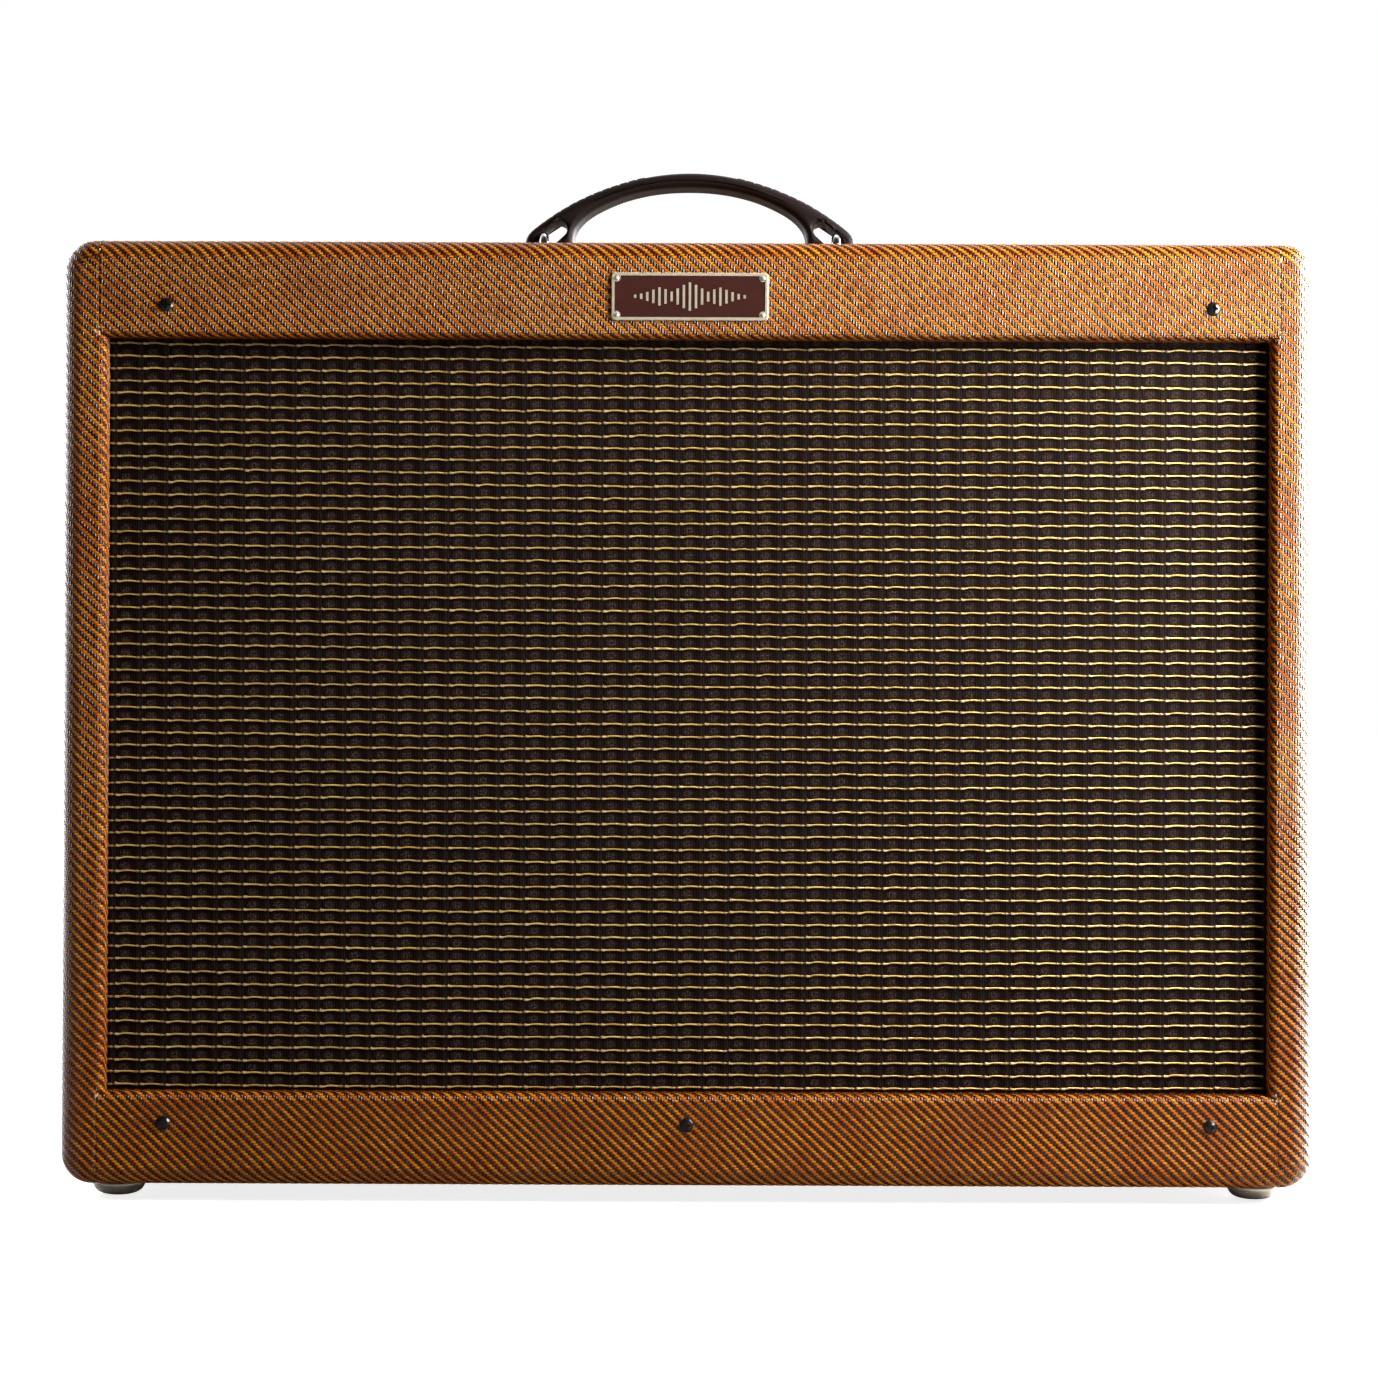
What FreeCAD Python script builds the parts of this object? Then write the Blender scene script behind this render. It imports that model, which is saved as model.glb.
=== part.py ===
import FreeCAD, Part
import math
import os

# Open-back valve guitar amplifier combo: tweed-covered box with a recessed
# woven grille, top carrying handle, recessed top control panel, hanging valves,
# one twelve-inch loudspeaker and a spring reverb tank.
# Frame: origin on the floor under the middle of the cabinet, +X to the right
# seen from the front, +Y towards the back, +Z up. All lengths in millimetres.

Vector = FreeCAD.Vector
Y_AXIS, Z_AXIS = Vector(0, 1, 0), Vector(0, 0, 1)
os.makedirs("parts", exist_ok=True)

# ------------------------------------------------------- shared dimensions
CAB_W, CAB_D, CAB_H = 597.0, 267.0, 450.0   # outside, over the covering, without feet
FOOT_H = 8.6           # height of the glides
COVER_T = 0.8          # thickness of the woven covering
BOARD_T = 18.4         # pine boards
RAIL_TOP_H, RAIL_BOT_H = 45.3, 43.4         # front rails, covering included
RAIL_T = 9.5           # plywood of the front rails

HALF_W, HALF_D = CAB_W / 2, CAB_D / 2
CAB_Z0, CAB_Z1 = FOOT_H, FOOT_H + CAB_H
INNER_X = HALF_W - COVER_T - BOARD_T        # inside face of the side boards
INNER_Z0 = CAB_Z0 + COVER_T + BOARD_T       # inside face of the bottom board
INNER_Z1 = CAB_Z1 - COVER_T - BOARD_T       # underside of the top board
RAIL_BACK = -HALF_D + COVER_T + RAIL_T      # back face of the front rails
OPEN_X = INNER_X - COVER_T                  # half width of the grille opening
OPEN_Z0, OPEN_Z1 = CAB_Z0 + RAIL_BOT_H, CAB_Z1 - RAIL_TOP_H

PANEL_Y = 71.0                              # centre line of panel and controls
CUTOUT_X, CUTOUT_HALF_D = 245.0, 39.0       # half sizes of the cut-out in the top
PANEL_TOP = INNER_Z1
PANEL_BOT = PANEL_TOP - 1.5
SHEET_T = 1.5                               # chassis sheet
CHASSIS_Z0 = 375.0                          # underside of the chassis floor

CLOTH_T, BAFFLE_T = 1.0, 16.0
CLOTH_Y0 = RAIL_BACK + 0.1
BAFFLE_Y0 = CLOTH_Y0 + CLOTH_T
BAFFLE_Y1 = BAFFLE_Y0 + BAFFLE_T

GAP = 0.05             # clearance between touching metal parts
REACH = 400.0          # half size of cutting zones, beyond the cabinet
ZONE_TOP, ZONE_BOT = 500.0, -9.0


# ------------------------------------------------------------------ helpers
def box(x0, x1, y0, y1, z0, z1):
    return Part.makeBox(x1 - x0, y1 - y0, z1 - z0, Vector(x0, y0, z0))


def rod_z(radius, x, y, z0, z1):
    return Part.makeCylinder(radius, z1 - z0, Vector(x, y, z0), Z_AXIS)


def rod_y(radius, x, z, y0, y1):
    return Part.makeCylinder(radius, y1 - y0, Vector(x, y0, z), Y_AXIS)


def fuse(shapes):
    return shapes[0].fuse(shapes[1:]).removeSplitter()


def edges_where(shape, test):
    """Edges whose bounding box passes the test."""
    return [edge for edge in shape.Edges if test(edge.BoundBox)]


def polygon_face(points):
    return Part.Face(Part.makePolygon(points + points[:1]))


def lathe_y(profile, x, z, base=0.0):
    """Closed profile of (radius, y above base) turned round a line along Y."""
    face = polygon_face([Vector(x + radius, base + y, z) for radius, y in profile])
    return face.revolve(Vector(x, 0, z), Y_AXIS, 360)


def lathe_z(profile, x, y, base=0.0):
    """Closed profile of (radius, z above base) turned round a line along Z."""
    face = polygon_face([Vector(x + radius, y, base + z) for radius, z in profile])
    return face.revolve(Vector(x, y, 0), Z_AXIS, 360)


def hexagon(across_flats, x, y, z0, z1):
    radius = across_flats / 2 / math.cos(math.pi / 6)
    angles = [math.pi / 3 * i for i in range(6)]
    points = [Vector(x + radius * math.cos(a), y + radius * math.sin(a), z0) for a in angles]
    return polygon_face(points).extrude(Vector(0, 0, z1 - z0))


def cross_y(x, z, y0, y1, arm, half_slot):
    """Cross recess of a screw lying along Y."""
    return fuse([box(x - arm, x + arm, y0, y1, z - half_slot, z + half_slot),
                 box(x - half_slot, x + half_slot, y0, y1, z - arm, z + arm)])


def cross_z(x, y, z0, z1, arm, half_slot):
    """Cross recess of an upright screw."""
    return fuse([box(x - arm, x + arm, y - half_slot, y + half_slot, z0, z1),
                 box(x - half_slot, x + half_slot, y - arm, y + arm, z0, z1)])


def pipe(points, radius):
    """Smooth round cable through the points."""
    curve = Part.BSplineCurve()
    curve.interpolate([Vector(*point) for point in points])
    tangent = curve.tangent(curve.FirstParameter)[0]
    circle = Part.Wire([Part.makeCircle(radius, Vector(*points[0]), tangent)])
    sweep = Part.BRepOffsetAPI.MakePipeShell(Part.Wire([curve.toShape()]))
    sweep.setFrenetMode(False)
    sweep.add(circle)
    sweep.build()
    sweep.makeSolid()
    return sweep.shape()


def span(sign, inner, outer):
    """Low and high X of a stretch on the left (-1) or right (1) side."""
    return sorted((sign * inner, sign * outer))


def corners(half_u, half_v, centre_u=0.0, centre_v=0.0):
    """The four corner positions of a rectangle."""
    return [(centre_u + su * half_u, centre_v + sv * half_v) for su in (-1, 1) for sv in (-1, 1)]


def write(name, *shapes):
    """Check the solids and save them as one STEP file."""
    solids = [solid for shape in shapes for solid in shape.Solids]
    assert solids, name + " holds no solid"
    for solid in solids:
        assert solid.isValid() and solid.Volume > 0, name + " is not valid"
    piece = solids[0] if len(solids) == 1 else Part.makeCompound(solids)
    piece.exportStep(os.path.join("parts", name + ".step"))


# ------------------------------------------- fasteners through the cabinet
FRONT_SCREW_X = 249.5
FRONT_SCREW_TOP, FRONT_SCREW_BOT = CAB_Z1 - 30.9, CAB_Z0 + 29.4
FRONT_SCREW_XZ = [(-FRONT_SCREW_X, FRONT_SCREW_TOP), (FRONT_SCREW_X, FRONT_SCREW_TOP),
                  (-FRONT_SCREW_X, FRONT_SCREW_BOT), (0.0, FRONT_SCREW_BOT),
                  (FRONT_SCREW_X, FRONT_SCREW_BOT)]
front_holes = Part.makeCompound([rod_y(2.1, x, z, -HALF_D - 5, BAFFLE_Y0 + 9)
                                 for x, z in FRONT_SCREW_XZ])

BOLT_R, BOLT_HOLE_R = 2.5, 2.6
BOLT_XY = corners(262.0, 26.0, 0.0, PANEL_Y)     # chassis bolts

HANDLE_Y = -48.0
BAR_X = 72.7                                     # bracket bars
TAB_Y = 25.0                                     # bracket screws from HANDLE_Y
HANDLE_SCREW_XY = corners(BAR_X, TAB_Y, 0.0, HANDLE_Y)
FOOT_XY = corners(275.0, 105.5)

PLATE_W, PLATE_H, PLATE_T, PLATE_Z = 74.8, 22.8, 1.6, 432.5
PLATE_X, PLATE_HALF_H = PLATE_W / 2, PLATE_H / 2
PIN_INSET, PIN_HOLE_R = 2.6, 0.55
PIN_XZ = corners(PLATE_X - PIN_INSET, PLATE_HALF_H - PIN_INSET, 0.0, PLATE_Z)

all_holes = Part.makeCompound(
    front_holes.Solids
    + [rod_z(BOLT_HOLE_R, x, y, PANEL_BOT - 5, CAB_Z1 + 5) for x, y in BOLT_XY]
    + [rod_z(2.1, x, y, CAB_Z1 - 16, CAB_Z1 + 5) for x, y in HANDLE_SCREW_XY]
    + [rod_z(2.0, x, y, CAB_Z0 - 3, CAB_Z0 + 17) for x, y in FOOT_XY]
    + [rod_y(PIN_HOLE_R, x, z, -HALF_D - 5, -HALF_D + 10) for x, z in PIN_XZ])

# ---------------------------------------------------- cabinet and covering
R_CORNER = 14.0        # rounding of the four long edges
R_FRONT = 9.0          # rounding of the front perimeter
R_BACK = 5.0           # rounding of the back perimeter
R_OPEN = 3.0           # rounding round the grille opening
R_CUTOUT = 4.0         # rounding round the panel cut-out
SEAM_X = 281.5         # where the side covering butts against the front covering
TOL = 0.01             # slack when picking edges by position


def rounded_cabinet(inset):
    y0, y1 = -HALF_D + inset, HALF_D - inset
    s = box(-HALF_W + inset, HALF_W - inset, y0, y1, CAB_Z0 + inset, CAB_Z1 - inset)
    s = s.makeFillet(R_CORNER - inset, edges_where(s, lambda b: b.YLength > (y1 - y0) * 0.9))
    s = s.makeFillet(R_FRONT - inset, edges_where(s, lambda b: b.YMax < y0 + TOL))
    return s.makeFillet(R_BACK - inset, edges_where(s, lambda b: b.YMin > y1 - TOL))


def open_box(inset):
    """Carcass with cavity, grille opening and panel cut-out; inset is how far
    its skin lies inside the covering's outer surface."""
    s = rounded_cabinet(inset)
    s = s.cut(box(-INNER_X, INNER_X, RAIL_BACK, HALF_D + 20, INNER_Z0, INNER_Z1))

    half_x, z0, z1 = OPEN_X + inset, OPEN_Z0 - inset, OPEN_Z1 + inset
    s = s.cut(box(-half_x, half_x, -HALF_D - 20, RAIL_BACK + 1, z0, z1))
    rim = edges_where(s, lambda b: b.YMax < -HALF_D + inset + TOL
                      and abs(b.XMin) < half_x + TOL and abs(b.XMax) < half_x + TOL
                      and b.ZMin > z0 - TOL and b.ZMax < z1 + TOL)
    s = s.makeFillet(R_OPEN - inset, rim)

    cut_x = CUTOUT_X + inset
    y0, y1 = PANEL_Y - CUTOUT_HALF_D - inset, PANEL_Y + CUTOUT_HALF_D + inset
    s = s.cut(box(-cut_x, cut_x, y0, y1, INNER_Z1 - 1, CAB_Z1 + 20))
    rim = edges_where(s, lambda b: b.ZMin > CAB_Z1 - inset - TOL and b.ZMax < CAB_Z1 + 1
                      and b.XMax < cut_x + TOL and b.XMin > -cut_x - TOL
                      and b.YMin > y0 - TOL and b.YMax < y1 + TOL)
    return s.makeFillet(R_CUTOUT - inset, rim)


def side_cover_zone(sign):
    """Side covering, with the strip lining that end of the grille opening."""
    return fuse([box(*span(sign, SEAM_X, HALF_W + 9), -REACH, REACH, ZONE_BOT, ZONE_TOP),
                 box(*span(sign, OPEN_X - 6, SEAM_X + 1), -HALF_D - 9, RAIL_BACK + 2,
                     OPEN_Z0, OPEN_Z1)])


outer = open_box(0.0)
wood = open_box(COVER_T)
skin = outer.cut(wood).cut(all_holes)
left_zone, right_zone = side_cover_zone(-1), side_cover_zone(1)
write("tweed_left", skin.common(left_zone))
write("tweed_right", skin.common(right_zone))
middle = skin.cut(left_zone).cut(right_zone)
mid_z = (CAB_Z0 + CAB_Z1) / 2
write("tweed_top", middle.common(box(-REACH, REACH, -REACH, REACH, mid_z, ZONE_TOP)))
write("tweed_bottom", middle.common(box(-REACH, REACH, -REACH, REACH, ZONE_BOT, mid_z)))

# boards, finger-jointed at the corners
FINGERS = 9
FINGER_PITCH = (CAB_D - 2 * COVER_T) / FINGERS
END_REACH = 50.0       # the first and last fingers run on past the cabinet


def finger_zone(z0, z1):
    """Board between the sides, plus its fingers through them."""
    zone = [box(-INNER_X, INNER_X, -REACH, REACH, z0, z1)]
    for i in range(0, FINGERS, 2):
        y0 = -HALF_D + COVER_T + i * FINGER_PITCH
        y1 = -HALF_D + COVER_T + (i + 1) * FINGER_PITCH
        if i == 0:
            y0 -= END_REACH
        if i == FINGERS - 1:
            y1 += END_REACH
        zone.append(box(-HALF_W - 5, HALF_W + 5, y0, y1, z0, z1))
    return fuse(zone)


wood = wood.cut(all_holes)
top_zone = finger_zone(INNER_Z1, ZONE_TOP)
bottom_zone = finger_zone(ZONE_BOT, INNER_Z0)
write("top_panel", wood.common(top_zone))
write("bottom_panel", wood.common(bottom_zone))
rails_zone = Part.makeCompound([
    box(-INNER_X, INNER_X, -HALF_D - 5, RAIL_BACK, OPEN_Z1 - 5, INNER_Z1),
    box(-INNER_X, INNER_X, -HALF_D - 5, RAIL_BACK, INNER_Z0, OPEN_Z0 + 5)])
write("front_rails", wood.common(rails_zone))
sides = wood.cut(top_zone).cut(bottom_zone)
for side, sign in (("left", -1), ("right", 1)):
    zone = box(*span(sign, INNER_X, HALF_W + 5), -REACH, REACH, ZONE_BOT, ZONE_TOP)
    write("side_panel_" + side, sides.common(zone))

# --------------------------------------------------------- baffle, grille
BAFFLE_X, BAFFLE_Z0, BAFFLE_Z1 = 277.3, INNER_Z0 + 2.0, INNER_Z1 - 2.0
SPEAKER_Z = 222.0      # loudspeaker axis height
SPEAKER_HOLE_R = 141.0
SPEAKER_BOLTS, BOLT_CIRCLE_R = 8, 147.5

bolt_angles = [2 * math.pi * (i + 0.5) / SPEAKER_BOLTS for i in range(SPEAKER_BOLTS)]
speaker_bolt_xz = [(BOLT_CIRCLE_R * math.cos(a), SPEAKER_Z + BOLT_CIRCLE_R * math.sin(a))
                   for a in bolt_angles]

baffle = box(-BAFFLE_X, BAFFLE_X, BAFFLE_Y0, BAFFLE_Y1, BAFFLE_Z0, BAFFLE_Z1)
baffle = baffle.cut(rod_y(SPEAKER_HOLE_R, 0, SPEAKER_Z, BAFFLE_Y0 - 2, BAFFLE_Y1 + 2))
baffle = baffle.cut(Part.makeCompound([rod_y(2.6, x, z, BAFFLE_Y0 - 2, BAFFLE_Y1 + 2)
                                       for x, z in speaker_bolt_xz]))
write("baffle_board", baffle.cut(front_holes))
cloth = box(-BAFFLE_X, BAFFLE_X, CLOTH_Y0, BAFFLE_Y0, BAFFLE_Z0, BAFFLE_Z1)
write("grille_cloth", cloth.cut(front_holes))


def front_screw(x, z):
    """Oval-head cross-recess screw through a rail into the baffle."""
    y = -HALF_D
    screw = lathe_y([(0, y - 2.2), (1.4, y - 2.05), (2.6, y - 1.5), (3.6, y - 0.35),
                     (3.6, y - 0.02), (2.0, y - 0.02), (2.0, BAFFLE_Y0 + 6),
                     (0, BAFFLE_Y0 + 8.5)], x, z)
    return screw.cut(cross_y(x, z, y - 3, y - 1.0, 2.0, 0.55))


write("front_screws", *[front_screw(x, z) for x, z in FRONT_SCREW_XZ])

# -------------------------------------------------------------- nameplate
PLATE_BACK = -HALF_D - 0.02
PLATE_FRONT = PLATE_BACK - PLATE_T
RIM_W = 1.5
# heights of a plain row of upright bars, like a sound level trace, left to right
BAR_HEIGHTS = [1.6, 2.6, 4.2, 6.4, 8.6, 6.8, 4.6, 7.6, 11.0, 13.4,
               11.0, 7.6, 4.6, 6.8, 8.6, 6.4, 4.2, 2.6, 1.6]
BAR_PITCH, BAR_W = 2.9, 1.1
PIN_SEAT_Y = PLATE_FRONT + 0.13    # under the pin heads
PIN_HEAD_H = 0.85


def plate_box(inset, y0, y1):
    half_x, half_z = PLATE_X - inset, PLATE_HALF_H - inset
    return box(-half_x, half_x, y0, y1, PLATE_Z - half_z, PLATE_Z + half_z)


def plate_bars(y0, y1, margin):
    """The row of bars, each grown all round by the margin."""
    bars = []
    for i, height in enumerate(BAR_HEIGHTS):
        x = (i - (len(BAR_HEIGHTS) - 1) / 2) * BAR_PITCH
        half_x, half_z = BAR_W / 2 + margin, height / 2 + margin
        bars.append(box(x - half_x, x + half_x, y0, y1, PLATE_Z - half_z, PLATE_Z + half_z))
    return bars


def plate_rods(radius, y0, y1):
    """A rod at each pin position."""
    return [rod_y(radius, x, z, y0, y1) for x, z in PIN_XZ]


plate = plate_box(0.0, PLATE_FRONT, PLATE_BACK)
plate = plate.makeFillet(1.9, edges_where(plate, lambda b: b.YLength > 1))
plate = plate.makeFillet(0.45, edges_where(plate, lambda b: b.YMax < PLATE_FRONT + TOL))
plate = plate.cut(plate_box(RIM_W, PLATE_FRONT - 1, PLATE_FRONT + 0.7))
plate = plate.fuse(plate_bars(PLATE_FRONT + 0.05, PLATE_FRONT + 0.9, 0.0))
plate = plate.fuse(plate_rods(1.75, PLATE_FRONT + 0.15, PLATE_FRONT + 0.9)).removeSplitter()
pin_bores = plate_rods(PIN_HOLE_R, PLATE_FRONT - 2, PLATE_BACK + 2)
write("nameplate_frame", plate.cut(Part.makeCompound(pin_bores)))

enamel = plate_box(RIM_W + GAP, PLATE_FRONT + 0.3, PLATE_FRONT + 0.68)
enamel = enamel.cut(Part.makeCompound(plate_bars(PLATE_FRONT, PLATE_BACK, GAP)
                                      + plate_rods(1.8, PLATE_FRONT, PLATE_BACK)))
write("nameplate_enamel", enamel)

PIN_PROFILE = [(0, -PIN_HEAD_H), (0.6, -0.72), (1.0, -0.35), (1.15, 0), (0.5, 0), (0.5, 8), (0, 9)]
write("nameplate_pins", *[lathe_y(PIN_PROFILE, x, z, PIN_SEAT_Y) for x, z in PIN_XZ])

# ----------------------------------------------------------------- handle
HANDLE_W = 25.0
# right half of the arched contour: (x, height above the top covering)
TOP_LINE = [(0, 45.6), (9, 45.22), (17.6, 44.17), (25.7, 42.56), (33.8, 40.28), (41.8, 37.62),
            (49.9, 34.29), (58.0, 30.4), (66.0, 25.64), (74.0, 20.13), (79.6, 15.57)]
END_LINE = [(81.9, 12.2), (82.4, 8.4), (81.0, 4.8), (77.6, 2.7), (72.5, 2.4), (67.0, 2.4),
            (62.0, 2.6), (59.4, 4.4), (58.4, 8.0), (58.2, 13.0)]
UNDER_LINE = [(57.0, 17.47), (53.6, 22.03), (48.5, 26.02), (41.8, 29.63), (33.8, 32.96),
              (25.7, 35.34), (17.6, 36.95), (9, 37.9)]
UNDER_MIDDLE = (0, 38.19)
# slot for the bracket bar: the two end centres, same columns
SLOT_R = 4.2
SLOT_INNER, SLOT_OUTER = (65.7, 16.9), (72.2, 10.9)


def slot(sign):
    (inner_x, inner_z), (outer_x, outer_z) = SLOT_INNER, SLOT_OUTER
    run, rise = outer_x - inner_x, outer_z - inner_z
    length = math.hypot(run, rise)
    side_x, side_z = -rise / length * SLOT_R, run / length * SLOT_R
    quad = [(inner_x + side_x, inner_z + side_z), (outer_x + side_x, outer_z + side_z),
            (outer_x - side_x, outer_z - side_z), (inner_x - side_x, inner_z - side_z)]
    points = [Vector(sign * x, HANDLE_Y - 30, CAB_Z1 + z) for x, z in quad]
    parts = [polygon_face(points).extrude(Vector(0, 60, 0))]
    for x, z in (SLOT_INNER, SLOT_OUTER):
        parts.append(rod_y(SLOT_R, sign * x, CAB_Z1 + z, HANDLE_Y - 30, HANDLE_Y + 30))
    return fuse(parts)


def handle_grip():
    half = TOP_LINE + END_LINE + UNDER_LINE
    contour = half + [UNDER_MIDDLE] + [(-x, z) for x, z in reversed(half[1:])]
    curve = Part.BSplineCurve()
    curve.interpolate([Vector(x, HANDLE_Y - HANDLE_W / 2, CAB_Z1 + z) for x, z in contour],
                      PeriodicFlag=True)
    grip = Part.Face(Part.Wire([curve.toShape()])).extrude(Vector(0, HANDLE_W, 0))
    grip = grip.cut(slot(-1)).cut(slot(1))
    # the fillet along the splined contour may fail; the grip then keeps sharp edges
    try:
        rounded = grip.makeFillet(1.5, [edge for edge in grip.Edges
                                        if edge.BoundBox.YLength < 0.01 and edge.Length > 100])
        if rounded.isValid():
            grip = rounded
    except Exception:
        pass
    return grip


write("handle_grip", handle_grip())

BAR_R, BAR_HALF, BAR_H = 2.3, 17.5, 12.4    # bar radius, half length, height above the top
BEND_R = 5.0
BAR_FOOT_Z = CAB_Z1 + 0.7
TAB_Z0, TAB_Z1, TAB_HALF_W = CAB_Z1 + 0.05, CAB_Z1 + 1.65, 6.5
TAB_INNER, TAB_OUTER = 9.0, 9.5             # tab lengths either side of its middle


def bracket(sign):
    """Bent bar across the handle, with a screw tab at each foot."""
    x = sign * BAR_X
    y0, y1 = HANDLE_Y - BAR_HALF, HANDLE_Y + BAR_HALF
    bar_z = CAB_Z1 + BAR_H
    bend_z = bar_z - BEND_R
    leg = BEND_R * math.cos(math.pi / 4)

    def at(y, z):
        return Vector(x, y, z)

    path = Part.Wire([
        Part.LineSegment(at(y0, BAR_FOOT_Z), at(y0, bend_z)).toShape(),
        Part.Arc(at(y0, bend_z), at(y0 + BEND_R - leg, bend_z + leg),
                 at(y0 + BEND_R, bar_z)).toShape(),
        Part.LineSegment(at(y0 + BEND_R, bar_z), at(y1 - BEND_R, bar_z)).toShape(),
        Part.Arc(at(y1 - BEND_R, bar_z), at(y1 - BEND_R + leg, bend_z + leg),
                 at(y1, bend_z)).toShape(),
        Part.LineSegment(at(y1, bend_z), at(y1, BAR_FOOT_Z)).toShape()])
    ring = Part.Wire([Part.makeCircle(BAR_R, at(y0, BAR_FOOT_Z), Z_AXIS)])
    parts = [path.makePipeShell([ring], True, True)]
    for end in (-1, 1):
        middle_y = HANDLE_Y + end * (TAB_Y - 0.5)
        tab_y0, tab_y1 = sorted((middle_y - end * TAB_INNER, middle_y + end * TAB_OUTER))
        tab = box(x - TAB_HALF_W, x + TAB_HALF_W, tab_y0, tab_y1, TAB_Z0, TAB_Z1)
        parts.append(tab.makeFillet(5.0, edges_where(
            tab, lambda b: b.ZLength > 1 and b.XLength < 0.1)))
    shape = fuse(parts)
    for end in (-1, 1):
        shape = shape.cut(rod_z(2.2, x, HANDLE_Y + end * TAB_Y, CAB_Z1 - 5, CAB_Z1 + 5))
    return shape


write("handle_brackets", bracket(-1), bracket(1))


def handle_screw(x, y):
    z = TAB_Z1 + 0.02
    screw = lathe_z([(0, z + 2.3), (1.6, z + 2.15), (2.9, z + 1.5), (3.9, z + 0.3), (3.9, z),
                     (1.95, z), (1.95, CAB_Z1 - 12), (0, CAB_Z1 - 15.5)], x, y)
    return screw.cut(cross_z(x, y, z + 1.1, z + 4, 2.1, 0.5))


write("handle_screws", *[handle_screw(x, y) for x, y in HANDLE_SCREW_XY])

# ----------------------------------------------------------------- glides
FOOT_R = 12.65
PAD_Z = FOOT_H - 2.2
# (radius, height above the floor)
GLIDE_PROFILE = [(0, 0), (5.0, 0), (8.6, 0.7), (11.0, 2.2), (12.3, 4.4), (FOOT_R, PAD_Z),
                 (1.9, PAD_Z), (1.9, CAB_Z0 + 13), (0, CAB_Z0 + 16)]
PAD_PROFILE = [(2.05, PAD_Z + 0.02), (FOOT_R - 0.3, PAD_Z + 0.02),
               (FOOT_R - 0.3, FOOT_H - 0.02), (2.05, FOOT_H - 0.02)]
write("glides", *[lathe_z(GLIDE_PROFILE, x, y) for x, y in FOOT_XY])
write("glide_pads", *[lathe_z(PAD_PROFILE, x, y) for x, y in FOOT_XY])

# ---------------------------------------------------- cleats, back panels
CLEAT = 15.0           # square section
BACK_T = 11.9
BACK_Y1 = HALF_D - COVER_T
BACK_Y0 = BACK_Y1 - BACK_T
UPPER_Z0, UPPER_Z1 = 345.0, INNER_Z1 - 0.6
LOWER_Z0, LOWER_Z1 = INNER_Z0 + 0.6, 175.0
BACK_X = INNER_X - 0.8
BACK_SCREW_XZ = [(sign * (INNER_X - CLEAT / 2), z) for sign in (-1, 1)
                 for z in (UPPER_Z0 + 14, UPPER_Z1 - 24, LOWER_Z0 + 22, LOWER_Z1 - 14)]
# the rear screw heads reach as far back as the nameplate pins reach forward
REAR_Y = -(PIN_SEAT_Y - PIN_HEAD_H)
back_holes = Part.makeCompound([rod_y(2.0, x, z, BACK_Y0 - 13, HALF_D + 5)
                                for x, z in BACK_SCREW_XZ])

cleats = []
for sign in (-1, 1):
    for y0, z0, z1 in ((BAFFLE_Y1 + 0.1, INNER_Z0 + 20, INNER_Z1 - 4),
                       (BACK_Y0 - CLEAT, UPPER_Z0, INNER_Z1 - 12),
                       (BACK_Y0 - CLEAT, LOWER_Z0 + 1, LOWER_Z1)):
        cleat = box(*span(sign, INNER_X - CLEAT, INNER_X), y0, y0 + CLEAT, z0, z1)
        cleats.append(cleat.cut(back_holes))
write("cleats", *cleats)


def back_panel(name, z0, z1, board_z0, board_z1):
    """Write the board; return the covering on its back and its free edge."""
    full = box(-BACK_X, BACK_X, BACK_Y0, HALF_D, z0, z1)
    board = box(-BACK_X, BACK_X, BACK_Y0, BACK_Y1, board_z0, board_z1)
    write(name, board.cut(back_holes))
    return full.cut(board).cut(back_holes)


write("tweed_back",
      back_panel("upper_back_panel", UPPER_Z0, UPPER_Z1, UPPER_Z0 + COVER_T, UPPER_Z1),
      back_panel("lower_back_panel", LOWER_Z0, LOWER_Z1, LOWER_Z0, LOWER_Z1 - COVER_T))


def back_screw(x, z):
    y = HALF_D + 0.03
    screw = lathe_y([(0, REAR_Y), (2.4, REAR_Y), (3.2, REAR_Y - 0.6), (4.6, y + 0.5), (5.6, y),
                     (1.9, y), (1.9, BACK_Y0 - 9), (0, BACK_Y0 - 12)], x, z)
    return screw.cut(cross_y(x, z, REAR_Y - 1.2, REAR_Y + 1, 1.9, 0.5))


write("back_panel_screws", *[back_screw(x, z) for x, z in BACK_SCREW_XZ])

# ------------------------------------------------------ panel and chassis
KNOB_X = {"volume": 154.0, "drive": 104.0, "treble": 70.0, "bass": 36.0,
          "middle": 2.0, "master": -32.0, "reverb": -66.0, "presence": -100.0}
JACK_X = [228.0, 203.0, -127.0, -149.0, -171.0]
BUTTON_X = {"bright_button": 181.0, "drive_button": 129.0}
TOGGLE_X = {"standby_toggle": -212.0, "power_toggle": -233.0}
PILOT_X = -192.0
# (hole radius, places along the panel)
PANEL_HOLES = [(4.85, KNOB_X.values()), (4.85, JACK_X), (5.3, BUTTON_X.values()),
               (6.0, TOGGLE_X.values()), (7.1, [PILOT_X])]
FLANGE_X, FLANGE_HALF_D = 274.0, 45.0
TRAY_X, TRAY_HALF_D = 243.0, 37.0
FUSE_X, FUSE_Y = -147.0, 84.0
CORD_X, CORD_Y = -147.0, 50.0


def panel_box(half_x, half_y, z0, z1):
    return box(-half_x, half_x, PANEL_Y - half_y, PANEL_Y + half_y, z0, z1)


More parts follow.
